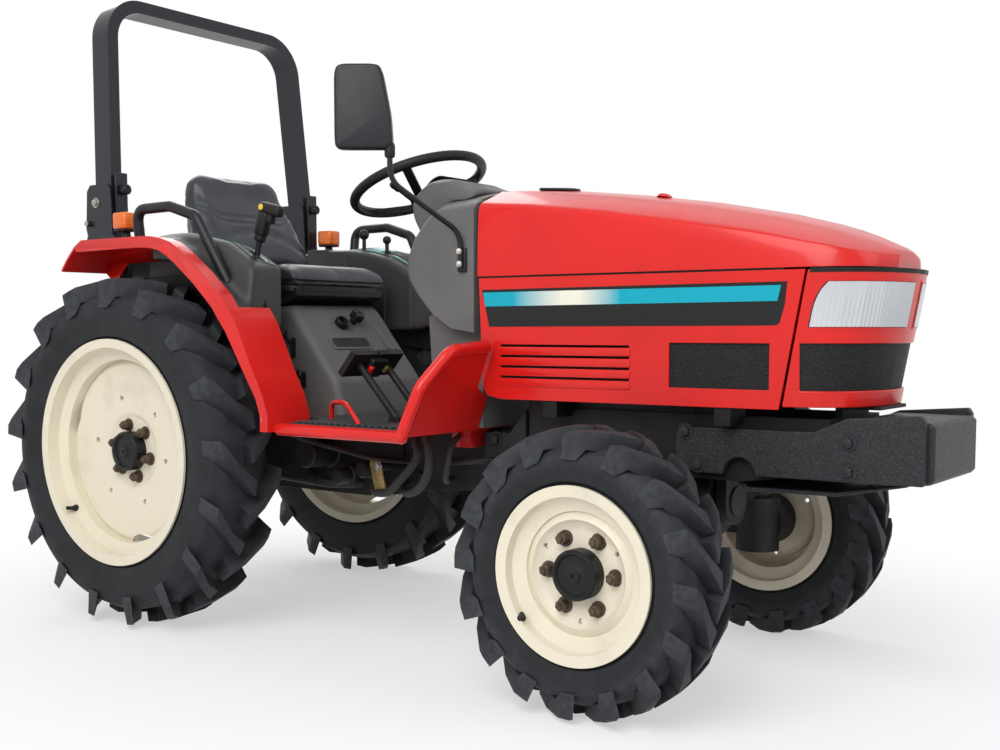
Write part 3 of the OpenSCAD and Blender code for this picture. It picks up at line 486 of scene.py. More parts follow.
def add_turned(bm, profile, matrix, steps=40):
    """Revolves (radius, height) points round the local Z axis."""
    shape = bmesh.new()
    line = [shape.verts.new((radius, 0, height)) for radius, height in profile]
    rim = [shape.edges.new(pair) for pair in zip(line, line[1:])]
    bmesh.ops.spin(shape, geom=line + rim, cent=(0, 0, 0), axis=(0, 0, 1), angle=2 * math.pi, steps=steps,
                   use_merge=True)
    bmesh.ops.remove_doubles(shape, verts=shape.verts, dist=1e-6)
    join_in(bm, shape, matrix)


def add_block(bm, low, high, bevel=0.0, matrix=Matrix()):
    """Box between two corners with rounded edges."""
    low, high = Vector(low), Vector(high)
    shape = bmesh.new()
    bmesh.ops.create_cube(shape, size=1.0)
    place = Matrix.Translation((low + high) / 2) @ Matrix.Diagonal((*(high - low), 1))
    bmesh.ops.transform(shape, matrix=place, verts=shape.verts)
    if bevel:
        round_edges(shape, bevel)
    join_in(bm, shape, matrix)


def add_hex(bm, radius, height, matrix, washer=1.35):
    """Hexagon head with rounded edges on a round washer."""
    shape = bmesh.new()
    bmesh.ops.create_cone(shape, cap_ends=True, segments=6, radius1=radius, radius2=radius, depth=height,
                          matrix=Matrix.Translation((0, 0, height / 2)))
    round_edges(shape, radius * 0.1, 2)
    join_in(bm, shape, matrix)
    if washer:
        thick = height * 0.18
        add_turned(bm, [(0, thick), (radius * washer, thick), (radius * (washer + 0.04), thick * 0.6),
                        (radius * (washer + 0.04), 0), (0, 0)], matrix, 28)


def add_slab(bm, outline, depth, matrix, bevel=0.0):
    """Flat outline in local X and Y, raised along local Z."""
    shape = bmesh.new()
    face = shape.faces.new([shape.verts.new((x, y, 0)) for x, y in outline])
    top = raise_faces(shape, [face], (0, 0, depth))
    if bevel:
        crown = [edge for edge in shape.edges if all(vert in top for vert in edge.verts)]
        round_edges(shape, bevel, 2, crown)
    join_in(bm, shape, matrix)


def rounded(width, height, radius, steps=6):
    """Outline of a rectangle with round corners, about its middle."""
    points = []
    for turn, (sx, sy) in enumerate(((1, 1), (-1, 1), (-1, -1), (1, -1))):
        for step in range(steps + 1):
            angle = math.pi / 2 * (turn + step / steps)
            points.append((sx * (width / 2 - radius) + radius * math.cos(angle),
                           sy * (height / 2 - radius) + radius * math.sin(angle)))
    return points


def add_pipe(bm, points, radius, bend=0.04):
    """Round pipe along points, with its corners rounded."""
    curve = bpy.data.curves.new("pipe_route", "CURVE")
    curve.dimensions = "3D"
    curve.bevel_depth = radius
    curve.bevel_resolution = 4
    curve.use_fill_caps = True
    route = [points[0]]
    for before, corner, after in zip(points, points[1:], points[2:]):
        back = (before - corner).normalized() * min(bend, (before - corner).length * 0.45)
        ahead = (after - corner).normalized() * min(bend, (after - corner).length * 0.45)
        for step in range(7):
            share = step / 6
            route.append(corner + back * (1 - share) ** 2 + ahead * share ** 2)
    route.append(points[-1])
    spline = curve.splines.new("POLY")
    spline.points.add(len(route) - 1)
    for point, place in zip(spline.points, route):
        point.co = (*place, 1)
    holder = bpy.data.objects.new("pipe_route", curve)
    bpy.context.scene.collection.objects.link(holder)
    graph = bpy.context.evaluated_depsgraph_get()
    mesh = bpy.data.meshes.new_from_object(holder.evaluated_get(graph))
    bm.from_mesh(mesh)
    bpy.data.objects.remove(holder)
    bpy.data.curves.remove(curve)
    bpy.data.meshes.remove(mesh)


def surface(node):
    """Search tree of a CAD node's skin."""
    mesh = NODES[node].data
    points = [vert.co for vert in mesh.vertices]
    return BVHTree.FromPolygons(points, [tuple(face.vertices) for face in mesh.polygons])


def meet(tree, start, direction):
    """Point and normal where a ray first meets a skin."""
    place, normal, _, _ = tree.ray_cast(start, Vector(direction).normalized())
    if place is None:
        raise RuntimeError(f"no surface from {tuple(start)}")
    if normal.dot(Vector(direction)) > 0:
        normal = -normal
    return place, normal


def add_laid(bm, tree, corner, far, lift, thick=0.003, across=6, along=16):
    """Thin plate laid on a skin from above, between two corners in millimetres."""
    shape = bmesh.new()
    bmesh.ops.create_grid(shape, x_segments=along, y_segments=across, size=0.5)
    for vert in shape.verts:
        x = corner[0] + (far[0] - corner[0]) * (vert.co.x + 0.5)
        y = corner[1] + (far[1] - corner[1]) * (vert.co.y + 0.5)
        vert.co = meet(tree, spot(x, y, OVERHEAD), DOWN)[0] + Vector((0, 0, lift))
    raise_faces(shape, shape.faces[:], (0, 0, -thick))
    join_in(bm, shape)


def apply_modifiers(made):
    """Puts the modifiers' result into a piece's mesh."""
    graph = bpy.context.evaluated_depsgraph_get()
    mesh = bpy.data.meshes.new_from_object(made.evaluated_get(graph))
    old = made.data
    made.modifiers.clear()
    made.data = mesh
    bpy.data.meshes.remove(old)


def relax(made, rounds, draw):
    """Rounds a piece off and draws its skin in a little."""
    bm = bmesh.new()
    bm.from_mesh(made.data)
    for _ in range(rounds):
        bmesh.ops.smooth_vert(bm, verts=bm.verts, factor=0.5,
                              use_axis_x=True, use_axis_y=True, use_axis_z=True)
    bm.normal_update()
    for vert in bm.verts:
        vert.co -= vert.normal * draw
    bm.to_mesh(made.data)
    bm.free()
    made.data.update()


def softened(outline, radius, steps=5):
    """Outline with each of its corners rounded."""
    points = []
    for before, corner, after in zip(outline[-1:] + outline[:-1], outline, outline[1:] + outline[:1]):
        before, corner, after = Vector(before), Vector(corner), Vector(after)
        back = (before - corner).normalized() * min(radius, (before - corner).length * 0.45)
        ahead = (after - corner).normalized() * min(radius, (after - corner).length * 0.45)
        for step in range(steps + 1):
            share = step / steps
            points.append(tuple(corner + back * (1 - share) ** 2 + ahead * share ** 2))
    return points


class TractorStep:
    """What every step of the dressing shares."""

    bl_options = {"REGISTER", "UNDO"}

    @property
    def sizes(self):
        return bpy.context.scene.tractor_sizes

    @property
    def colours(self):
        return bpy.context.scene.tractor_colours


class TRACTOR_OT_finishes(TractorStep, bpy.types.Operator):
    """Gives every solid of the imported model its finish"""

    bl_idname = "tractor.finishes"
    bl_label = "Finishes"

    def execute(self, context):
        mix_finishes(self.colours)
        for name, node in NODES.items():
            node.data.materials.clear()
            node.data.materials.append(FINISHES[SLOT_OF[name]])
        return {"FINISHED"}


class TRACTOR_OT_forms(TractorStep, bpy.types.Operator):
    """Gives sheet metal, mouldings, castings and rubber their rounded edges and even shading"""

    bl_idname = "tractor.forms"
    bl_label = "Rounded forms"

    # Radius of each solid's rounded edges, in metres
    edge_radius = {
        "hood": 0.005, "nose_panel": 0.003, "side_panel_left": 0.003, "side_panel_right": 0.003,
        "headlamps": 0.004, "grilles": 0.0, "fender_left": 0.004, "fender_right": 0.004, "dash_cowl": 0.006,
        "steps": 0.0, "weight_bracket": 0.005, "front_weight": 0.008,
        "rops_hoop": 0.006, "rops_base": 0.002, "grab_rails": 0.0, "steering_wheel": 0.0,
        "steering_column": 0.0, "pedals": 0.004, "seat_base": 0.004, "floor_mats": 0.002,
        "engine_block": 0.006, "transmission_case": 0.008, "rear_axle_housing": 0.005, "front_frame": 0.003,
        "front_axle_beam": 0.005, "knuckle_left": 0.003, "knuckle_right": 0.003, "tie_rod": 0.0,
        "hitch_bracket": 0.003, "lower_links": 0.002, "lift_arms": 0.003, "lift_rods": 0.0,
        "rear_tyre_left": 0.004, "rear_tyre_right": 0.004,
        "front_tyre_left": 0.003, "front_tyre_right": 0.003,
        "rear_rim_left": 0.0015, "rear_rim_right": 0.0015,
        "front_rim_left": 0.0015, "front_rim_right": 0.0015,
    }
    # Degrees past which an edge counts as sharp, and what holds where none is given
    soft = {"hood": 62, "dash_cowl": 62, "nose_panel": 50, "fender_left": 50, "fender_right": 50}
    sharp_from = 40
    # Finish of each plastic moulding and its rounds of smoothing
    moulded = {"consoles": ("console_grey", 24), "instrument_panel": ("grey_plastic", 20)}
    # Side view of the tunnel's front, in millimetres, and the radius of its long edges in metres
    tunnel_side = ((318, 917), (336, 903), (372, 860), (442, 776), (500, 705), (508, 688))
    tunnel_round = 0.026

    def execute(self, context):
        for node, radius in self.edge_radius.items():
            self.form(node, radius, self.soft.get(node, self.sharp_from))
        for node, (finish, rounds) in self.moulded.items():
            self.mould(node, finish, rounds)
        self.tunnel()
        return {"FINISHED"}

    def mould(self, node, finish, rounds):
        """A solid's skin with the wide soft corners of a plastic moulding."""
        bm = bmesh.new()
        bm.from_mesh(NODES[node].data)
        bmesh.ops.remove_doubles(bm, verts=bm.verts, dist=WELD)
        made = piece(bm, f"{node}_form", finish, BODY_OF[node])
        made.modifiers.new("Voxels", "REMESH").voxel_size = self.sizes.mould_voxel
        apply_modifiers(made)
        relax(made, rounds, 0.0)
        shade_smooth(made)
        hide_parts(node)

    def tunnel(self):
        """The cover over the gearbox, with wide rounded long edges."""
        low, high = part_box("tunnel_cover")
        outline = [(spot(x, 0, z).x, spot(x, 0, z).z) for x, z in self.tunnel_side]
        outline = [(low.x, low.z), (low.x, high.z - 0.002)] + outline + [(high.x, low.z)]
        shape = bmesh.new()
        face = shape.faces.new([shape.verts.new((x, low.y, z)) for x, z in outline])
        raise_faces(shape, [face], (0, high.y - low.y, 0))
        long_edges = [edge for edge in shape.edges
                      if edge.verts[0].co.y == edge.verts[1].co.y
                      and max(vert.co.z for vert in edge.verts) > low.z + 0.001
                      and max(vert.co.x for vert in edge.verts) > low.x + 0.001]
        round_edges(shape, self.tunnel_round, 5, long_edges, True)
        bm = bmesh.new()
        join_in(bm, shape)
        made = piece(bm, "tunnel_cover_form", "grey_plastic", smooth=50)
        made.modifiers.new("Even shading", "WEIGHTED_NORMAL").keep_sharp = True
        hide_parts("tunnel_cover")

    def form(self, node, radius, angle):
        """A solid's skin with its flat faces joined and its sharp edges rounded."""
        bm = bmesh.new()
        bm.from_mesh(NODES[node].data)
        bmesh.ops.remove_doubles(bm, verts=bm.verts, dist=WELD)
        bmesh.ops.dissolve_limit(bm, angle_limit=math.radians(0.5), verts=bm.verts, edges=bm.edges)
        if radius:
            least = math.radians(angle)
            sharp = [edge for edge in bm.edges if edge.is_manifold and edge.calc_face_angle(0) > least]
            round_edges(bm, radius, 2, sharp, True)
        made = piece(bm, f"{node}_form", SLOT_OF[node], BODY_OF[node], angle)
        made.modifiers.new("Even shading", "WEIGHTED_NORMAL").keep_sharp = True
        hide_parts(node)


class TRACTOR_OT_seat(TractorStep, bpy.types.Operator):
    """Makes the swollen vinyl seat and backrest"""

    bl_idname = "tractor.seat"
    bl_label = "Seat"

    # Cloth simulation
    pressure = 4
    frames = 20

    def execute(self, context):
        self.pad("seat_cushion", "seat_cushion_pad", self.cushion_seam, 0.85)
        self.pad("seat_back", "seat_back_pad", self.back_seam, 0.75)
        bm = bmesh.new()
        add_slab(bm, rounded(0.404, 0.402, 0.05), 0.016, Matrix.Translation(spot(146, 0, 958)), 0.003)
        piece(bm, "seat_pan", "black_plastic")
        return {"FINISHED"}

    def cushion_seam(self, place, normal):
        """How deep the cushion's cover is drawn in at a point."""
        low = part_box("seat_cushion")[0]
        piping = 0.006 * math.exp(-((place.z - low.z - 0.016) / 0.005) ** 2)
        spread = ((place.x - low.x - 0.20) / 0.11) ** 2 + (place.y / 0.11) ** 2
        dish = 0.010 * math.exp(-spread) * max(0.0, normal.z)
        return piping + dish

    def back_seam(self, place, normal):
        """How deep the backrest's cover is drawn in at a point."""
        low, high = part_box("seat_back")
        share = min(1.0, abs(place.y) / high.y)
        wing = min(1.0, max(0.0, (share - 0.5) / 0.42))
        arch = low.z + 0.232 + 0.040 * wing * wing * (3 - 2 * wing)
        lobe = low.z + 0.190 - 0.092 * share * share
        front = max(0.0, normal.x)
        seams = sum(math.exp(-((place.z - arch + drop) / 0.0055) ** 2) for drop in (0.0, 0.018))
        hollow = math.exp(-((place.z - lobe) / 0.012) ** 2)
        edge = math.exp(-(((1 - share) * high.y - 0.016) / 0.005) ** 2) if place.z > low.z + 0.12 else 0.0
        return front * (0.007 * seams + 0.011 * hollow + 0.005 * edge)

    def pad(self, node, name, seam, fill):
        """A pad from a solid: rounded, swollen by cloth under pressure, then drawn in at its seams."""
        bm = bmesh.new()
        bm.from_mesh(NODES[node].data)
        bmesh.ops.remove_doubles(bm, verts=bm.verts, dist=WELD)
        made = piece(bm, name, "seat_vinyl")
        made.modifiers.new("Voxels", "REMESH").voxel_size = self.sizes.seat_voxel
        apply_modifiers(made)
        relax(made, 26, self.sizes.seat_swell * 0.6)
        self.swell(made)
        relax(made, 10, 0.0)
        for vert in made.data.vertices:
            vert.co -= vert.normal * seam(vert.co, vert.normal)
        relax(made, 1, 0.0)
        smoother = made.modifiers.new("Smooth skin", "SUBSURF")
        smoother.levels = smoother.render_levels = 1
        shade_smooth(made)
        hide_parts(node)

    def swell(self, made):
        """Cloth under pressure, with each point's travel capped."""
        scene = bpy.context.scene
        start = [vert.co.copy() for vert in made.data.vertices]
        cloth = made.modifiers.new("Swell", "CLOTH")
        cloth.settings.use_pressure = True
        cloth.settings.uniform_pressure_force = self.pressure
        cloth.settings.effector_weights.gravity = 0
        for step in range(1, self.frames + 1):
            scene.frame_set(step)
        graph = bpy.context.evaluated_depsgraph_get()
        swollen = bpy.data.meshes.new_from_object(made.evaluated_get(graph))
        made.modifiers.clear()
        for vert, before, after in zip(made.data.vertices, start, swollen.vertices):
            travel = after.co - before
            vert.co = before + travel * min(1.0, self.sizes.seat_swell / max(travel.length, 1e-9))
        bpy.data.meshes.remove(swollen)
        scene.frame_set(1)
        made.data.update()


class TRACTOR_OT_wheels(TractorStep, bpy.types.Operator):
    """Adds wheel nuts, hub caps and valves"""

    bl_idname = "tractor.wheels"
    bl_label = "Wheels"

    # Way from the hub to the valve
    valve_way = (-0.775, 0, -0.632)

    def execute(self, context):
        for side, sign in SIDES.items():
            self.wheel(f"wheel_rear_{side}", f"rear_rim_{side}", sign,
                       face_y=503.5, circle=76, turn=45, valve_y=548)
            self.wheel(f"wheel_front_{side}", f"front_rim_{side}", sign,
                       face_y=511.5, circle=85, turn=0, valve_y=552)
        return {"FINISHED"}

    def wheel(self, body, rim, sign, face_y, circle, turn, valve_y):
        """One wheel's hardware, from its disc's and valve's places and its nut circle in millimetres."""
        low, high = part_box(rim)
        hub = Vector(((low.x + high.x) / 2, sign * face_y / 1000, (low.z + high.z) / 2))
        disc = axes(hub, (0, sign, 0))
        height = self.sizes.nut_height
        bm = bmesh.new()
        for count in range(6):
            angle = math.radians(turn + 60 * count)
            arm = Vector((math.cos(angle), math.sin(angle), 0)) * circle / 1000
            seat = disc @ Matrix.Translation(arm)
            add_hex(bm, self.sizes.nut_radius, height, seat @ Matrix.Rotation(angle * 1.7, 4, "Z"))
            add_turned(bm, [(0, height + 0.007), (0.0065, height + 0.0065), (0.0078, height + 0.004),
                            (0.0078, height - 0.002), (0, height - 0.002)], seat, 16)
        piece(bm, f"{body}_nuts", "rust", body)
        edge = self.sizes.cap_radius
        bm = bmesh.new()
        add_turned(bm, [(0, -0.001), (edge, -0.001), (edge, 0.033), (edge - 0.003, 0.0375),
                        (edge - 0.009, 0.0385), (edge - 0.011, 0.0365), (edge - 0.013, 0.0318),
                        (edge - 0.022, 0.0316), (0.021, 0.0330), (0.017, 0.0350), (0.0165, 0.0375),
                        (0.014, 0.0385), (0.004, 0.0385), (0.0035, 0.034), (0, 0.034)], disc, 56)
        piece(bm, f"{body}_hub_cap", "black_plastic", body)
        middle = Vector((hub.x, sign * valve_y / 1000, hub.z))
        barrel, normal = meet(surface(rim), middle, self.valve_way)
        bm = bmesh.new()
        add_turned(bm, [(0, -0.004), (0.010, -0.004), (0.010, 0.002), (0.0075, 0.005), (0.0065, 0.014),
                        (0.0045, 0.016), (0.0045, 0.024), (0.0058, 0.025), (0.0055, 0.034), (0, 0.035)],
                   axes(barrel, normal + Vector((0, sign * 0.9, 0))), 18)
        piece(bm, f"{body}_valve", "black_plastic", body)


class TRACTOR_OT_side_bands(TractorStep, bpy.types.Operator):
    """Lays the dark band and the turquoise stripe on both side panels"""

    bl_idname = "tractor.side_bands"
    bl_label = "Side bands"

    # Turn of the left side panel and the place of its rear edge in millimetres
    panel_turn = math.radians(-1)
    panel_rear = (1045, 240)
    # Outlines in side view, in millimetres, and the panel's slots
    band = [(1059, 946), (1871, 950), (1866, 900), (1855, 862), (1850, 857), (1840, 855), (1082, 853)]
    stripe = [(1063, 939), (1857, 942), (1849, 908), (1070, 904)]
    strip = [(1052, 960), (1860, 960), (1860, 996), (1052, 990)]
    slot_ends = (1110, 1488)
    slot_heights = (722, 748, 774, 800)

    def execute(self, context):
        for side, sign in SIDES.items():
            self.film(f"side_band_{side}", self.band, 0.0005, sign, "film")
            self.film(f"side_stripe_{side}", self.stripe, 0.0009, sign, "turquoise")
            self.seal(side, sign)
            self.louvres(side, sign)
        return {"FINISHED"}

    def panel(self, sign, inward=0.0):
        """Matrix whose local X runs along a side panel, local Y up and local Z outward."""
        rear_x, rear_y = self.panel_rear
        skin = Matrix.Translation(spot(rear_x, rear_y, 0)) @ Matrix.Rotation(self.panel_turn, 4, "Z")
        upright = Matrix.Rotation(math.pi / 2, 4, "X") @ Matrix.Scale(-1, 4, (0, 0, 1))
        flat = skin @ Matrix.Translation((0, -inward, 0)) @ upright
        return Matrix.Scale(sign, 4, (0, 1, 0)) @ flat

    def place(self, x, z):
        """Panel coordinates of a point in millimetres."""
        return (x - self.panel_rear[0]) / 1000, z / 1000

    def film(self, name, outline, lift, sign, finish):
        """Thin film on a panel's skin."""
        bm = bmesh.new()
        add_slab(bm, [self.place(x, z) for x, z in outline], lift, self.panel(sign))
        piece(bm, name, finish)

    def seal(self, side, sign):
        """Rubber strip behind the joint of hood and panel."""
        bm = bmesh.new()
        outline = [self.place(x, z) for x, z in self.strip]
        add_slab(bm, outline, 0.003, self.panel(sign, 0.0095), 0.001)
        piece(bm, f"panel_seal_{side}", "mat_rubber")

    def louvres(self, side, sign):
        """Pressed lips that half close the panel's slots."""
        bm = bmesh.new()
        rear, ahead = self.slot_ends
        for height in self.slot_heights:
            low = Vector(self.place(rear, height - 17))
            high = Vector(self.place(ahead, height + 3.5))
            lip = self.panel(sign) @ Matrix.Translation((*((low + high) / 2), -0.001))
            add_slab(bm, rounded(*(high - low), 0.006), 0.0038, lip, 0.0022)
        piece(bm, f"panel_louvres_{side}", "red_paint")


class TRACTOR_OT_hood_top(TractorStep, bpy.types.Operator):
    """Adds the catch at the hood's rear and the button on its crown"""

    bl_idname = "tractor.hood_top"
    bl_label = "Hood top"

    def execute(self, context):
        tree = surface("hood")
        rear = meet(tree, spot(1085, 0, OVERHEAD), DOWN)[0]
        ahead = meet(tree, spot(1185, 0, OVERHEAD), DOWN)[0]
        bm = bmesh.new()
        slope = (ahead - rear).normalized()
        across = Vector((0, 1, 0))
        lie = Matrix((slope, across, slope.cross(across))).transposed().to_4x4()
        middle = Matrix.Translation((rear + ahead) / 2)
        add_slab(bm, rounded(0.116, 0.05, 0.02), 0.006, middle @ lie, 0.002)
        piece(bm, "hood_rear_catch", "black_plastic", "hood")
        bm = bmesh.new()
        crown, normal = meet(tree, spot(1447, 0, OVERHEAD), DOWN)
        add_turned(bm, [(0.020, -0.001), (0.018, 0.004), (0.012, 0.0075), (0, 0.009)],
                   axes(crown, normal, (1, 0, 0)), 28)
        piece(bm, "hood_crown_button", "red_paint", "hood")
        return {"FINISHED"}


class TRACTOR_OT_turn_lamps(TractorStep, bpy.types.Operator):
    """Makes the amber turn lamps with their black holders"""

    bl_idname = "tractor.turn_lamps"
    bl_label = "Turn lamps"

    def execute(self, context):
        bm = bmesh.new()
        dark = bmesh.new()
        for sign in SIDES.values():
            corners = [spot(-146, sign * 398, 1140), spot(-86, sign * 454, 1190)]
            low = Vector(min(pair) for pair in zip(*corners))
            high = Vector(max(pair) for pair in zip(*corners))
            add_block(bm, low, high, 0.008)
            low.z, high.z = spot(0, 0, 1134).z, spot(0, 0, 1144).z
            add_block(dark, low + Vector((0.003, 0.003, 0)), high - Vector((0.003, 0.003, 0)), 0.003)
            add_turned(dark, [(0, 0.03), (0.012, 0.03), (0.014, 0.012), (0.020, 0.004), (0.021, 0), (0, 0)],
                       Matrix.Translation(spot(-116, sign * 426, 1105)), 28)
        made = piece(bm, "turn_lamp_glasses", "amber")
        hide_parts("turn_signals")
        piece(dark, "turn_lamp_holders", "black_plastic")
        return {"FINISHED"}


class TRACTOR_OT_roll_bar(TractorStep, bpy.types.Operator):
    """Adds the roll bar's bolts and lock knobs"""

    bl_idname = "tractor.roll_bar"
    bl_label = "Roll bar hardware"

    def execute(self, context):
        for side, sign in SIDES.items():
            bm = bmesh.new()
            add_hex(bm, 0.011, 0.008, axes(spot(-253, sign * 430, 1226), (0, sign, 0)))
            add_hex(bm, 0.009, 0.006, axes(spot(-285, sign * 438, 1165), (0, sign, 0)), 0)
            piece(bm, f"roll_bar_bolts_{side}", "zinc")
            bm = bmesh.new()
            add_turned(bm, [(0, 0.026), (0.012, 0.0255), (0.0155, 0.022), (0.016, 0.010), (0.011, 0.006),
                            (0.009, 0)], axes(spot(-167, sign * 397, 1262), (1, 0, 0)), 24)
            piece(bm, f"roll_bar_knob_{side}", "black_plastic")
        return {"FINISHED"}


class TRACTOR_OT_front(TractorStep, bpy.types.Operator):
    """Fits the lamp lenses and the nose's seal, and bolts the weight bracket"""

    bl_idname = "tractor.front"
    bl_label = "Front"

    # Places of the bracket's bolts along and up, in millimetres
    bolts = ((1607, 611), (1639, 536), (1996, 604), (1997, 542))
    # Heights of the lens, of the red strips over and under it and of the nose's seal, in millimetres
    lens = (852, 948)
    strips = (836, 968)
    seal = (968, 978)
    lens_ribs = 27
    lens_slant = 0.08

    def execute(self, context):
        self.nose_tree = surface("nose_panel")
        for side, sign in SIDES.items():
            self.lamp(side, sign)
        bm = bmesh.new()
        for sign in SIDES.values():
            self.add_sheet(bm, sign, self.seal, (88.5, 0.0), 0.0012, 0.003)
        piece(bm, "nose_seal", "frame_black", smooth=70)
        self.bracket_bolts()
        return {"FINISHED"}

    def lamp(self, side, sign):
        """A lens on a black strip that paints the thin shadow round its edge, on the red frame that closes
        the nose's window.
        """
        under, over = self.lens
        slant = self.lens_slant
        bm = bmesh.new()
        self.add_sheet(bm, sign, (under, over), (83.0, 8.0), 0.0024, 0.004, slant, self.lens_ribs)
        piece(bm, f"lamp_lens_{side}", "lens_clear", smooth=70)
        # Black strip a little larger than the lens: painted shadow line round the lens.
        bm = bmesh.new()
        self.add_sheet(bm, sign, (under - 1, over + 1), (83.8, 7.6), 0.0018, 0.003, slant)
        piece(bm, f"lamp_shadow_line_{side}", "frame_black", smooth=70)
        bm = bmesh.new()
        self.add_sheet(bm, sign, (under - 5, over + 5), (87.0, 6.6), 0.0012, 0.003)
        piece(bm, f"lamp_frame_{side}", "red_paint", smooth=70)

    def bracket_bolts(self):
        """Bolt heads on the weight bracket's sides."""
        tree = surface("weight_bracket")
        for side, sign in SIDES.items():
            bm = bmesh.new()
            for x, z in self.bolts:
                place, normal = meet(tree, spot(x, sign * 400, z), (0, -sign, 0))
                add_hex(bm, self.sizes.bolt_radius, 0.011, axes(place, normal), 1.6)
            piece(bm, f"weight_bolts_{side}", "grain_black")

    def nose_point(self, sign, angle, height, lift):
        """Place on the nose's leaning skin, by the angle from dead ahead and by height."""
        ahead = Vector((math.cos(angle), sign * math.sin(angle), 0))
        ends = []
        for strip in self.strips:
            middle = spot(1915 - 0.18 * (980 - strip), 0, strip)
            ends.append(meet(self.nose_tree, middle + ahead * 0.5, -ahead)[0])
        share = (height - self.strips[0]) / (self.strips[1] - self.strips[0])
        return ends[0].lerp(ends[1], share) + ahead * lift

    def add_sheet(self, bm, sign, heights, angles, lift, thick, slant=0.0, ribs=0):
        """Thin sheet laid round one side of the nose, with upright ribs on its rear two thirds."""
        shape = bmesh.new()
        bmesh.ops.create_grid(shape, x_segments=8 * ribs or 40, y_segments=12, size=0.5)
        for vert in shape.verts:
            along, up = vert.co.x + 0.5, vert.co.y + 0.5
            rear = slant * up ** 4
            turn = rear + (1 - rear) * along
            angle = math.radians(angles[0] + (angles[1] - angles[0]) * turn)
            wave = 0.0006 * math.cos(2 * math.pi * ribs * turn) if ribs and turn < 0.66 else 0.0
            vert.co = self.nose_point(sign, angle, heights[0] + (heights[1] - heights[0]) * up, lift + wave)
        for vert in raise_faces(shape, shape.faces[:], (0, 0, 0)):
            inward = Vector((spot(1880, 0, 0).x - vert.co.x, -vert.co.y, 0)).normalized()
            vert.co += inward * thick
        join_in(bm, shape)


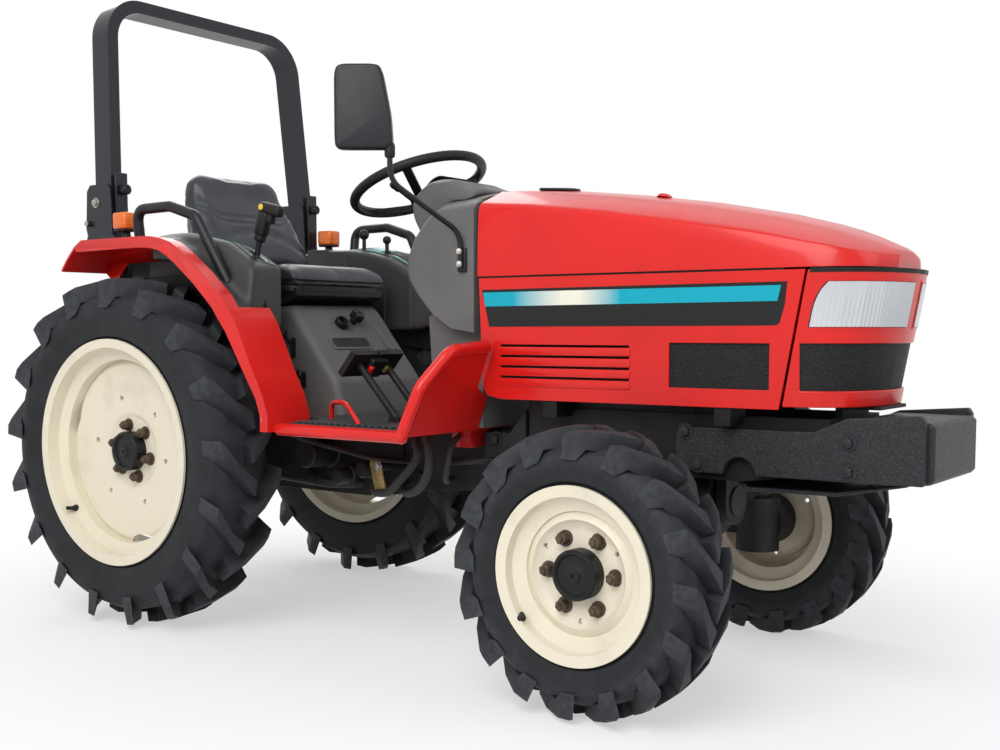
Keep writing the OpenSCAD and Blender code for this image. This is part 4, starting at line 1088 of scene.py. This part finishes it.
class TRACTOR_OT_platform(TractorStep, bpy.types.Operator):
    """Ribs the floor mat and the pedals, and fits out the tunnel's front"""

    bl_idname = "tractor.platform"
    bl_label = "Platform"

    # The pedals' places across, their common place along and up in millimetres, and their lean
    pedal_rows = (-330, -228, 300)
    pedal_x, pedal_z = 718, 757
    pedal_lean = math.radians(-50)

    def execute(self, context):
        self.mat_ribs()
        self.pedal_treads()
        self.tunnel()
        bm = bmesh.new()
        add_pipe(bm, [spot(640, -352, 602), spot(649, -360, 655), spot(738, -400, 657), spot(818, -436, 604)],
                 0.0065, 0.03)
        piece(bm, "floor_rod", "red_paint")
        return {"FINISHED"}

    def mat_ribs(self):
        """Ribs across the floor mat, parted by the tunnel's front."""
        low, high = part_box("floor_mats")
        bm = bmesh.new()
        x = low.x + 0.012
        while x < high.x - 0.010:
            wide = 0.466 if x > spot(606, 0, 0).x else 0.355
            runs = [(-wide, wide)] if x < spot(836, 0, 0).x else [(-wide, -0.212), (0.212, wide)]
            for start, end in runs:
                add_block(bm, (x, start, high.z - 0.001), (x + 0.012, end, high.z + 0.006), 0.002)
            x += self.sizes.rib_pitch
        piece(bm, "floor_mat_ribs", "mat_rubber")

    def pedal_treads(self):
        """Rubber bars on the pedals."""
        bm = bmesh.new()
        for y in self.pedal_rows:
            pad = self.pedal(y)
            for count in range(6):
                x = -0.031 + 0.0125 * count
                add_block(bm, (x - 0.0035, -0.041, 0.008), (x + 0.0035, 0.041, 0.0125), 0.0015, pad)
        piece(bm, "pedal_treads", "mat_rubber")
        self.pedal_latch(self.pedal(-279))

    def pedal(self, y):
        """Matrix that lies on a pedal's pad."""
        middle = Matrix.Translation(spot(self.pedal_x, y, self.pedal_z))
        return middle @ Matrix.Rotation(self.pedal_lean, 4, "Y")

    def pedal_latch(self, pad):
        """Latch between the two right pedals."""
        bm = bmesh.new()
        add_block(bm, (-0.030, -0.030, -0.026), (0.028, 0.030, -0.008), 0.004, pad)
        piece(bm, "pedal_latch", "black_plastic")
        bm = bmesh.new()
        add_block(bm, (-0.014, -0.034, -0.034), (0.012, -0.018, -0.020), 0.005, pad)
        piece(bm, "pedal_latch_tab", "red_paint")
        bm = bmesh.new()
        add_block(bm, (-0.010, 0.026, -0.032), (0.010, 0.040, -0.018), 0.003, pad)
        piece(bm, "pedal_latch_clip", "brass_zinc")

    def tunnel(self):
        """Knobs, the pocket and the hatch on the tunnel's front; the pocket's hollow is a black plate of
        painted shade.
        """
        tree = surface("tunnel_cover")
        place, normal = meet(tree, spot(571, -32, 861), (-1, 0, 0))
        bm = bmesh.new()
        add_turned(bm, [(0, 0.004), (0.014, 0.004), (0.016, 0.018), (0.019, 0.019), (0.021, 0.016),
                        (0.021, 0), (0, 0)], axes(place, normal), 36)
        place, normal = meet(tree, spot(571, 28, 868), (-1, 0, 0))
        wheel = axes(place, normal)
        add_turned(bm, [(0, 0.020), (0.009, 0.020), (0.012, 0.0), (0, 0)], wheel, 24)
        for count in range(5):
            angle = math.radians(72 * count)
            lobe = Matrix.Translation(Vector((math.cos(angle), math.sin(angle), 0)) * 0.0125)
            add_turned(bm, [(0, 0.042), (0.0075, 0.041), (0.0095, 0.036), (0.0095, 0.018), (0.007, 0.015),
                            (0, 0.015)], wheel @ lobe, 20)
        add_turned(bm, [(0, 0.039), (0.010, 0.038), (0.012, 0.034), (0.012, 0.018), (0, 0.018)], wheel, 24)
        piece(bm, "tunnel_knobs", "black_plastic")
        slope = axes(meet(tree, spot(615, -38, 806), (-1, 0, 0))[0], (0.768, 0, 0.640))
        bm = bmesh.new()
        add_slab(bm, rounded(0.168, 0.050, 0.016), 0.0035, slope, 0.0015)
        piece(bm, "tunnel_pocket_rim", "grey_plastic")
        # Black plate inside the pocket's rim: painted shade for the pocket's hollow.
        bm = bmesh.new()
        add_slab(bm, rounded(0.150, 0.034, 0.012), 0.0042, slope)
        piece(bm, "tunnel_pocket", "frame_black")
        side = axes(meet(tree, spot(600, 131, 828), (-1, 0, 0))[0], (0.75, 0, 0.66))
        bm = bmesh.new()
        add_slab(bm, rounded(0.042, 0.118, 0.010), 0.003, side, 0.0015)
        piece(bm, "tunnel_hatch", "grey_plastic")


class TRACTOR_OT_controls(TractorStep, bpy.types.Operator):
    """Fits out the consoles, the lever, the column and the instrument face"""

    bl_idname = "tractor.controls"
    bl_label = "Controls"

    # Rear, front, inner, outer, lower and upper faces, in millimetres
    tail_blocks = (
        (-78, 100, 281, 374, 1002, 1104),
        (-78, 12, 281, 424, 1098, 1113),
        (-78, 264, 282, 290, 850, 1036),
    )
    # Side view of the wheel well's liner and its place across, in millimetres
    well = ((-172, 1096), (90, 1096), (182, 1086), (263, 1050), (343, 992), (410, 930), (440, 850),
            (380, 780), (230, 800), (0, 860), (-150, 940))
    well_y = 368
    stalk_knob = ((0, 0.036), (0.006, 0.035), (0.009, 0.028), (0.008, 0), (0, 0))

    def execute(self, context):
        tree = surface("consoles")
        self.plates(tree)
        self.lever(tree)
        self.tails()
        self.side_levers()
        self.stalks()
        self.instruments()
        return {"FINISHED"}

    def plates(self, tree):
        """Black plates on the consoles, with the levers' slots and plain coloured marks."""
        bm = bmesh.new()
        add_laid(bm, tree, (170, -384), (384, -306), 0.0014)
        add_laid(bm, tree, (150, 308), (384, 386), 0.0014)
        piece(bm, "console_plates", "black_plastic")
        bm = bmesh.new()
        add_laid(bm, tree, (190, -354), (376, -336), 0.0024)
        add_laid(bm, tree, (240, 338), (372, 354), 0.0024)
        piece(bm, "console_slots", "frame_black")
        bm = bmesh.new()
        add_laid(bm, tree, (190, -332), (376, -325), 0.0026)
        add_laid(bm, tree, (190, -366), (300, -360), 0.0026)
        add_laid(bm, tree, (156, 312), (236, 382), 0.0026)
        add_laid(bm, tree, (270, 318), (372, 326), 0.0026)
        piece(bm, "console_markings", "teal")

    def lever(self, tree):
        """Rubber boots at the levers' feet."""
        bm = bmesh.new()
        for x, y, wide in ((351, -345, 0.026), (125, 345, 0.020), (226, 345, 0.018)):
            foot = meet(tree, spot(x, y, OVERHEAD), DOWN)[0]
            add_turned(bm, [(0, 0.030), (wide * 0.5, 0.030), (wide * 0.56, 0.022), (wide * 0.75, 0.016),
                            (wide * 0.72, 0.011), (wide, 0.004), (wide, -0.002), (0, -0.002)],
                       Matrix.Translation(foot), 32)
        piece(bm, "lever_boots", "mat_rubber")
        self.grips()

    def grips(self):
        """Lever stems with a pistol grip on the right and balls on the left."""
        bm = bmesh.new()
        add_pipe(bm, [spot(351, -345, 1040), spot(361, -345, 1082), spot(374, -345, 1116)], 0.0085, 0.02)
        lean = Matrix.Translation(spot(369, -345, 1102)) @ Matrix.Rotation(math.radians(20), 4, "Y")
        add_block(bm, (-0.019, -0.016, 0.004), (0.017, 0.016, 0.074), 0.009, lean)
        add_block(bm, (-0.016, -0.013, -0.014), (0.014, 0.013, 0.012), 0.008, lean)
        across = Matrix.Translation(spot(393, -345, 1166)) @ Matrix.Rotation(math.radians(14), 4, "Y")
        add_block(bm, (-0.022, -0.017, -0.002), (0.058, 0.017, 0.030), 0.011, across)
        add_block(bm, (0.010, -0.012, -0.024), (0.032, 0.012, 0.006), 0.006, across)
        for x, y, top, ball in ((125, 345, 1178, 17), (226, 345, 1153, 14)):
            add_pipe(bm, [spot(x, y, 1090), spot(x, y, top - 20)], 0.0065)
            angles = [math.pi * step / 10 for step in range(11)]
            turn = [(ball / 1000 * math.sin(angle), -ball / 1000 * math.cos(angle)) for angle in angles]
            add_turned(bm, turn, Matrix.Translation(spot(x, y, top - ball)), 28)
        made = piece(bm, "lever_grips", "black_plastic")
        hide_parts("levers")
        bm = bmesh.new()
        thumb = Matrix.Translation((-0.007, -0.0165, 0.015)) @ Matrix.Rotation(math.pi / 2, 4, "X")
        add_turned(bm, [(0.0085, -0.003), (0.0085, 0.002), (0.007, 0.0035), (0, 0.004)], across @ thumb, 24)
        piece(bm, "lever_button", "yellow")

    def tails(self):
        """Mouldings that carry the consoles on to the rear and close the space under them."""
        bm = bmesh.new()
        for sign in SIDES.values():
            for rear, ahead, inner, outer, under, top in self.tail_blocks:
                near, far = sorted((sign * inner, sign * outer))
                add_block(bm, spot(rear, near, under), spot(ahead, far, top), 0.003)
        piece(bm, "console_tails", "console_grey")
        bm = bmesh.new()
        for sign in SIDES.values():
            wall = axes(spot(0, sign * self.well_y, 0), (0, sign, 0))
            outline = [(wall.inverted() @ spot(x, sign * self.well_y, z)).to_2d() for x, z in self.well]
            add_slab(bm, [tuple(point) for point in outline], 0.005, wall)
        piece(bm, "wheel_well_liners", "frame_black")

    def side_levers(self):
        """Two small levers and their slots in the tunnel's right side."""
        side = (0, -1, 0)
        bm = bmesh.new()
        add_slab(bm, rounded(0.020, 0.062, 0.009), 0.0022, axes(spot(333, -190, 792), side))
        add_slab(bm, rounded(0.020, 0.050, 0.009), 0.0022, axes(spot(374, -190, 700), side))
        piece(bm, "side_lever_slots", "frame_black")
        bm = bmesh.new()
        add_pipe(bm, [spot(332, -186, 796), spot(329, -208, 812), spot(325, -222, 832)], 0.005, 0.02)
        add_turned(bm, [(0, 0.030), (0.009, 0.028), (0.013, 0.020), (0.013, 0.010), (0.008, 0), (0, 0)],
                   axes(spot(326, -218, 822), (-0.1, -0.45, 0.9)), 28)
        add_pipe(bm, [spot(373, -186, 702), spot(375, -215, 712), spot(378, -236, 726)], 0.005, 0.02)
        add_block(bm, (-0.022, -0.009, -0.009), (0.022, 0.009, 0.009), 0.007,
                  Matrix.Translation(spot(380, -238, 727)))
        piece(bm, "side_levers", "black_plastic")

    def stalks(self):
        """Lamp and throttle stalks on the steering column."""
        bm = bmesh.new()
        add_pipe(bm, [spot(672, 20, 1188), spot(650, 110, 1206), spot(630, 188, 1222)], 0.005, 0.03)
        add_turned(bm, self.stalk_knob, axes(spot(632, 180, 1220), (-0.25, 0.95, 0.2)), 20)
        add_pipe(bm, [spot(690, -20, 1184), spot(694, -90, 1210), spot(700, -150, 1232)], 0.005, 0.03)
        add_turned(bm, self.stalk_knob, axes(spot(699, -142, 1229), (0.08, -0.93, 0.34)), 20)
        piece(bm, "column_stalks", "black_plastic")

    def instruments(self):
        """Plain dials with needles in a black bezel."""
        tree = surface("instrument_panel")
        middle, normal = meet(tree, spot(560, 0, 1330), (1, 0, -0.45))
        dash = axes(middle, normal)
        bm = bmesh.new()
        add_slab(bm, rounded(0.200, 0.082, 0.030), 0.004, dash, 0.0015)
        piece(bm, "instrument_bezel", "black_plastic")
        bm = bmesh.new()
        for x, wide in ((-0.060, 0.026), (0.0, 0.032), (0.060, 0.026)):
            add_turned(bm, [(0, 0.0048), (wide, 0.0048), (wide, 0.003), (0, 0.003)],
                       dash @ Matrix.Translation((x, 0, 0)), 40)
        piece(bm, "instrument_dials", "pale")
        bm = bmesh.new()
        for x, wide, angle in ((-0.060, 0.020, 130), (0.0, 0.025, 200), (0.060, 0.020, 60)):
            needle = dash @ Matrix.Translation((x, 0, 0.0048)) @ Matrix.Rotation(math.radians(angle), 4, "Z")
            add_slab(bm, [(-0.003, -0.0016), (wide, -0.0004), (wide, 0.0004), (-0.003, 0.0016)], 0.001,
                     needle)
            add_turned(bm, [(0, 0.003), (0.003, 0.0025), (0.0035, 0), (0, 0)], needle, 16)
        piece(bm, "instrument_needles", "red_paint")


class TRACTOR_OT_underside(TractorStep, bpy.types.Operator):
    """Runs the pipes, rods and brackets under the platform"""

    bl_idname = "tractor.underside"
    bl_label = "Underside"

    # Turned shapes on the case's sides, and the places of its bolts in millimetres
    plug = ((0, 0.084), (0.020, 0.082), (0.024, 0.074), (0.024, 0.040), (0.031, 0.036), (0.031, 0), (0, 0))
    drum = ((0, 0.110), (0.036, 0.110), (0.040, 0.104), (0.040, 0.012), (0.046, 0.008), (0.046, 0), (0, 0))
    case_bolts = ((983, 118, 552), (1038, 150, 560), (1060, 150, 470), (760, 118, 440), (350, 130, 420))

    def execute(self, context):
        self.pipes()
        self.fittings()
        self.brake_plates()
        return {"FINISHED"}

    def pipes(self):
        """Bent pipes and the brake rods."""
        bm = bmesh.new()
        add_pipe(bm, [spot(875, -150, 585), spot(890, -262, 580), spot(925, -290, 545), spot(926, -290, 480),
                      spot(879, -276, 425), spot(800, -240, 404), spot(700, -130, 420)], 0.011, 0.06)
        add_pipe(bm, [spot(830, -150, 575), spot(838, -250, 562), spot(880, -272, 515), spot(801, -262, 444),
                      spot(740, -240, 402), spot(664, -215, 396), spot(590, -120, 410)], 0.011, 0.06)
        add_pipe(bm, [spot(940, -140, 575), spot(960, -235, 560), spot(958, -255, 500), spot(905, -200, 440),
                      spot(860, -115, 440)], 0.008, 0.05)
        piece(bm, "platform_pipes", "mat_rubber")
        bm = bmesh.new()
        for sign in SIDES.values():
            add_pipe(bm, [spot(250, sign * 200, 560), spot(459, sign * 268, 535), spot(718, sign * 268, 497),
                          spot(760, sign * 140, 480)], 0.0065, 0.04)
            add_pipe(bm, [spot(864, sign * 124, 488), spot(900, sign * 196, 494), spot(1028, sign * 196, 506),
                          spot(1060, sign * 145, 510)], 0.008, 0.04)
        piece(bm, "brake_rods", "cast_grey")

    def fittings(self):
        """Plugs, bolts, drums and shafts on the case's sides."""
        bm = bmesh.new()
        for sign in SIDES.values():
            for x, z in ((611, 456), (520, 430)):
                add_turned(bm, self.plug, axes(spot(x, sign * 128, z), (0, sign, 0)), 32)
            for x, y, z in self.case_bolts:
                add_hex(bm, 0.014, 0.016, axes(spot(x, sign * y, z), (0, sign, 0)), 1.5)
            add_turned(bm, [(0, 0.098), (0.013, 0.097), (0.014, 0.09), (0.014, 0), (0, 0)],
                       axes(spot(690, sign * 128, 472), (0, sign, 0)), 24)
            add_pipe(bm, [spot(140, sign * 150, 430), spot(200, sign * 196, 424), spot(470, sign * 196, 408),
                          spot(540, sign * 120, 404)], 0.015, 0.05)
            add_turned(bm, self.drum, axes(spot(420, sign * 128, 490), (0, sign, 0)), 36)
        piece(bm, "case_fittings", "cast_grey")

    def brake_plates(self):
        """Yellow plates at the rods' front ends, with their bolts."""
        bm = bmesh.new()
        for sign in SIDES.values():
            plate = axes(spot(686, sign * 218, 446), (0, sign, 0))
            lean = Matrix.Rotation(math.radians(-14 * sign), 4, "Z")
            add_slab(bm, rounded(0.040, 0.098, 0.014), 0.005, plate @ lean, 0.001)
        piece(bm, "brake_plates", "brass_zinc")
        bm = bmesh.new()
        for sign in SIDES.values():
            plate = axes(spot(690, sign * 224, 472), (0, sign, 0))
            add_hex(bm, 0.010, 0.008, plate)
        piece(bm, "brake_plate_bolts", "zinc")


class TRACTOR_OT_mirror(TractorStep, bpy.types.Operator):
    """Puts the glass into the mirror and bolts its arm"""

    bl_idname = "tractor.mirror"
    bl_label = "Mirror"

    # Outline of the mirror's back and its depth, in metres
    outline = [(-0.064, -0.101), (-0.069, -0.086), (-0.069, 0.080), (-0.060, 0.101), (0.036, 0.101),
               (0.048, 0.086), (0.068, -0.020), (0.073, -0.101)]
    depth = 0.044
    # Bends of the arm, in millimetres
    arm = ((1003, -256, 1000), (1003, -256, 1090), (940, -452, 1207), (940, -452, 1300))

    def shell(self, matrix):
        """The mirror's rounded back with its arm and bracket."""
        shape = bmesh.new()
        face = shape.faces.new([shape.verts.new((x, z, 0)) for x, z in softened(self.outline, 0.024)])
        back = set(raise_faces(shape, [face], (0, 0, self.depth)))
        ends = [(edge, sum(vert in back for vert in edge.verts)) for edge in shape.edges]
        rims = [[edge for edge, held in ends if held == count] for count in (0, 2)]
        for rim, radius in zip(rims, (0.004, 0.016)):
            round_edges(shape, radius, 4, rim, True)
        bm = bmesh.new()
        join_in(bm, shape, matrix)
        add_pipe(bm, [spot(*point) for point in self.arm], 0.007, 0.034)
        add_block(bm, spot(990, -253, 992), spot(1016, -244, 1052), 0.003)
        made = piece(bm, "side_mirror_form", "rail_black", smooth=45)
        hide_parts("side_mirror")

    def execute(self, context):
        turn = Matrix.Translation(spot(886, -486, 1383)) @ Matrix.Rotation(math.radians(36), 4, "Z")
        self.shell(turn @ Matrix.Translation((0, 0.022, 0)) @ Matrix.Rotation(math.pi / 2, 4, "X"))
        glass = turn @ Matrix.Translation((0, 0.0222, 0)) @ Matrix.Rotation(-math.pi / 2, 4, "X")
        bm = bmesh.new()
        add_slab(bm, softened([(x * 0.92, -z * 0.94) for x, z in self.outline], 0.02), 0.0012, glass)
        piece(bm, "mirror_glass_plate", "mirror")
        bm = bmesh.new()
        add_turned(bm, [(0, 0.034), (0.011, 0.034), (0.013, 0.028), (0.013, 0.006), (0.011, 0), (0, 0)],
                   Matrix.Translation(spot(940, -452, 1262)), 28)
        piece(bm, "mirror_arm_collar", "black_plastic")
        bm = bmesh.new()
        for z in (1012, 1044):
            add_hex(bm, 0.0055, 0.006, axes(spot(1003, -262.5, z), (0.3, -1, 0)))
        piece(bm, "mirror_arm_bolts", "zinc")
        return {"FINISHED"}


class TRACTOR_OT_stage(TractorStep, bpy.types.Operator):
    """Makes the camera, the floor, the lamps and the white surround"""

    bl_idname = "tractor.stage"
    bl_label = "Stage"

    # Place in metres, size in metres and power in watts
    lamps = (
        ("key_lamp", (1.2, -3.6, 3.3), 3.6, 152),
        ("front_lamp", (4.4, 0.4, 2.6), 2.6, 26),
        ("rear_lamp", (-3.2, 2.2, 3.6), 3.0, 60),
    )
    # Point that the lamps look at, the surround's light, and where the floor turns white
    lit_point = (0, 0, 0.6)
    surround = 0.43
    floor_fade = (0.9, 2.3)

    def execute(self, context):
        stage = context.scene.tractor_stage
        self.camera(context, stage)
        self.floor(context, stage)
        self.light(context)
        context.scene.view_settings.view_transform = "Standard"
        return {"FINISHED"}

    def camera(self, context, stage):
        """Camera at the photograph's viewing angle."""
        data = bpy.data.cameras.new("photo_camera")
        data.sensor_width = 36.0
        data.lens = stage.lens
        data.shift_y = stage.rise
        camera = bpy.data.objects.new("photo_camera", data)
        context.scene.collection.objects.link(camera)
        place = Vector(stage.camera_spot)
        camera.location = (AXLE_X + place.x, place.y, place.z)
        level = math.cos(stage.pitch)
        ahead = Vector((-math.sin(stage.yaw) * level, math.cos(stage.yaw) * level, -math.sin(stage.pitch)))
        camera.rotation_euler = ahead.to_track_quat("-Z", "Y").to_euler()
        context.scene.camera = camera

    def floor(self, context, stage):
        """Pale floor that keeps the shadow near the tractor and turns white further off."""
        bm = bmesh.new()
        bmesh.ops.create_grid(bm, x_segments=1, y_segments=1, size=stage.floor_size / 2)
        mesh = bpy.data.meshes.new("studio_floor")
        bm.to_mesh(mesh)
        bm.free()
        floor = bpy.data.objects.new("studio_floor", mesh)
        context.scene.collection.objects.link(floor)
        material, shader = new_finish("studio_white", (0.93, 0.93, 0.93), 0.9)
        glow = add_node(material, "ShaderNodeEmission")
        glow.inputs["Strength"].default_value = 1.0
        distance = add_node(material, "ShaderNodeVectorMath", operation="LENGTH")
        link(material, object_place(material), distance.inputs[0])
        far = add_node(material, "ShaderNodeMapRange", interpolation_type="SMOOTHSTEP")
        far.inputs["From Min"].default_value, far.inputs["From Max"].default_value = self.floor_fade
        far.inputs["To Min"].default_value = 0.5
        link(material, distance.outputs["Value"], far.inputs["Value"])
        seen = add_node(material, "ShaderNodeLightPath")
        share = add_node(material, "ShaderNodeMath", operation="MULTIPLY")
        link(material, far.outputs["Result"], share.inputs[0])
        link(material, self.seen_rays(material, seen), share.inputs[1])
        blend = add_node(material, "ShaderNodeMixShader")
        link(material, share.outputs["Value"], blend.inputs["Fac"])
        link(material, shader.outputs["BSDF"], blend.inputs[1])
        link(material, glow.outputs["Emission"], blend.inputs[2])
        surface_socket = material.node_tree.nodes["Material Output"].inputs["Surface"]
        link(material, blend.outputs["Shader"], surface_socket)
        mesh.materials.append(material)

    def seen_rays(self, holder, path):
        """1 for camera, glossy and transmission rays."""
        total = path.outputs["Is Camera Ray"]
        for name in ("Is Glossy Ray", "Is Transmission Ray"):
            either = add_node(holder, "ShaderNodeMath", operation="MAXIMUM")
            link(holder, total, either.inputs[0])
            link(holder, path.outputs[name], either.inputs[1])
            total = either.outputs["Value"]
        return total

    def light(self, context):
        """White surround and three large soft lamps."""
        world = bpy.data.worlds.new("studio_surround")
        world.use_nodes = True
        context.scene.world = world
        white = world.node_tree.nodes["Background"]
        white.inputs["Color"].default_value = (1, 1, 1, 1)
        path = add_node(world, "ShaderNodeLightPath")
        strength = add_node(world, "ShaderNodeMapRange")
        strength.inputs["To Min"].default_value = self.surround
        strength.inputs["To Max"].default_value = 1.0
        link(world, self.seen_rays(world, path), strength.inputs["Value"])
        link(world, strength.outputs["Result"], white.inputs["Strength"])
        for name, place, size, power in self.lamps:
            data = bpy.data.lights.new(name, "AREA")
            data.shape = "DISK"
            data.size = size
            data.energy = power
            lamp = bpy.data.objects.new(name, data)
            context.scene.collection.objects.link(lamp)
            lamp.location = place
            way = Vector(self.lit_point) - Vector(place)
            lamp.rotation_euler = way.to_track_quat("-Z", "Y").to_euler()


STEPS = (
    TRACTOR_OT_stage, TRACTOR_OT_finishes, TRACTOR_OT_forms, TRACTOR_OT_seat, TRACTOR_OT_wheels,
    TRACTOR_OT_side_bands, TRACTOR_OT_hood_top, TRACTOR_OT_turn_lamps, TRACTOR_OT_roll_bar, TRACTOR_OT_front,
    TRACTOR_OT_platform, TRACTOR_OT_controls, TRACTOR_OT_underside, TRACTOR_OT_mirror,
)


class TRACTOR_PT_panel(bpy.types.Panel):
    """Lists the steps of the dressing"""

    bl_idname = "TRACTOR_PT_panel"
    bl_label = "Tractor"
    bl_space_type = "VIEW_3D"
    bl_region_type = "UI"
    bl_category = "Tractor"

    def draw(self, context):
        for step in STEPS:
            self.layout.operator(step.bl_idname)


CLASSES = (TractorColours, TractorSizes, StageSettings, *STEPS, TRACTOR_PT_panel)


def register():
    for entry in CLASSES:
        bpy.utils.register_class(entry)
    bpy.types.Scene.tractor_colours = bpy.props.PointerProperty(type=TractorColours)
    bpy.types.Scene.tractor_sizes = bpy.props.PointerProperty(type=TractorSizes)
    bpy.types.Scene.tractor_stage = bpy.props.PointerProperty(type=StageSettings)


def unregister():
    del bpy.types.Scene.tractor_stage
    del bpy.types.Scene.tractor_sizes
    del bpy.types.Scene.tractor_colours
    for entry in reversed(CLASSES):
        bpy.utils.unregister_class(entry)


def main():
    """Runs every step."""
    register()
    for step in STEPS:
        area, action = step.bl_idname.split(".")
        getattr(getattr(bpy.ops, area), action)()


if __name__ == "__main__":
    main()
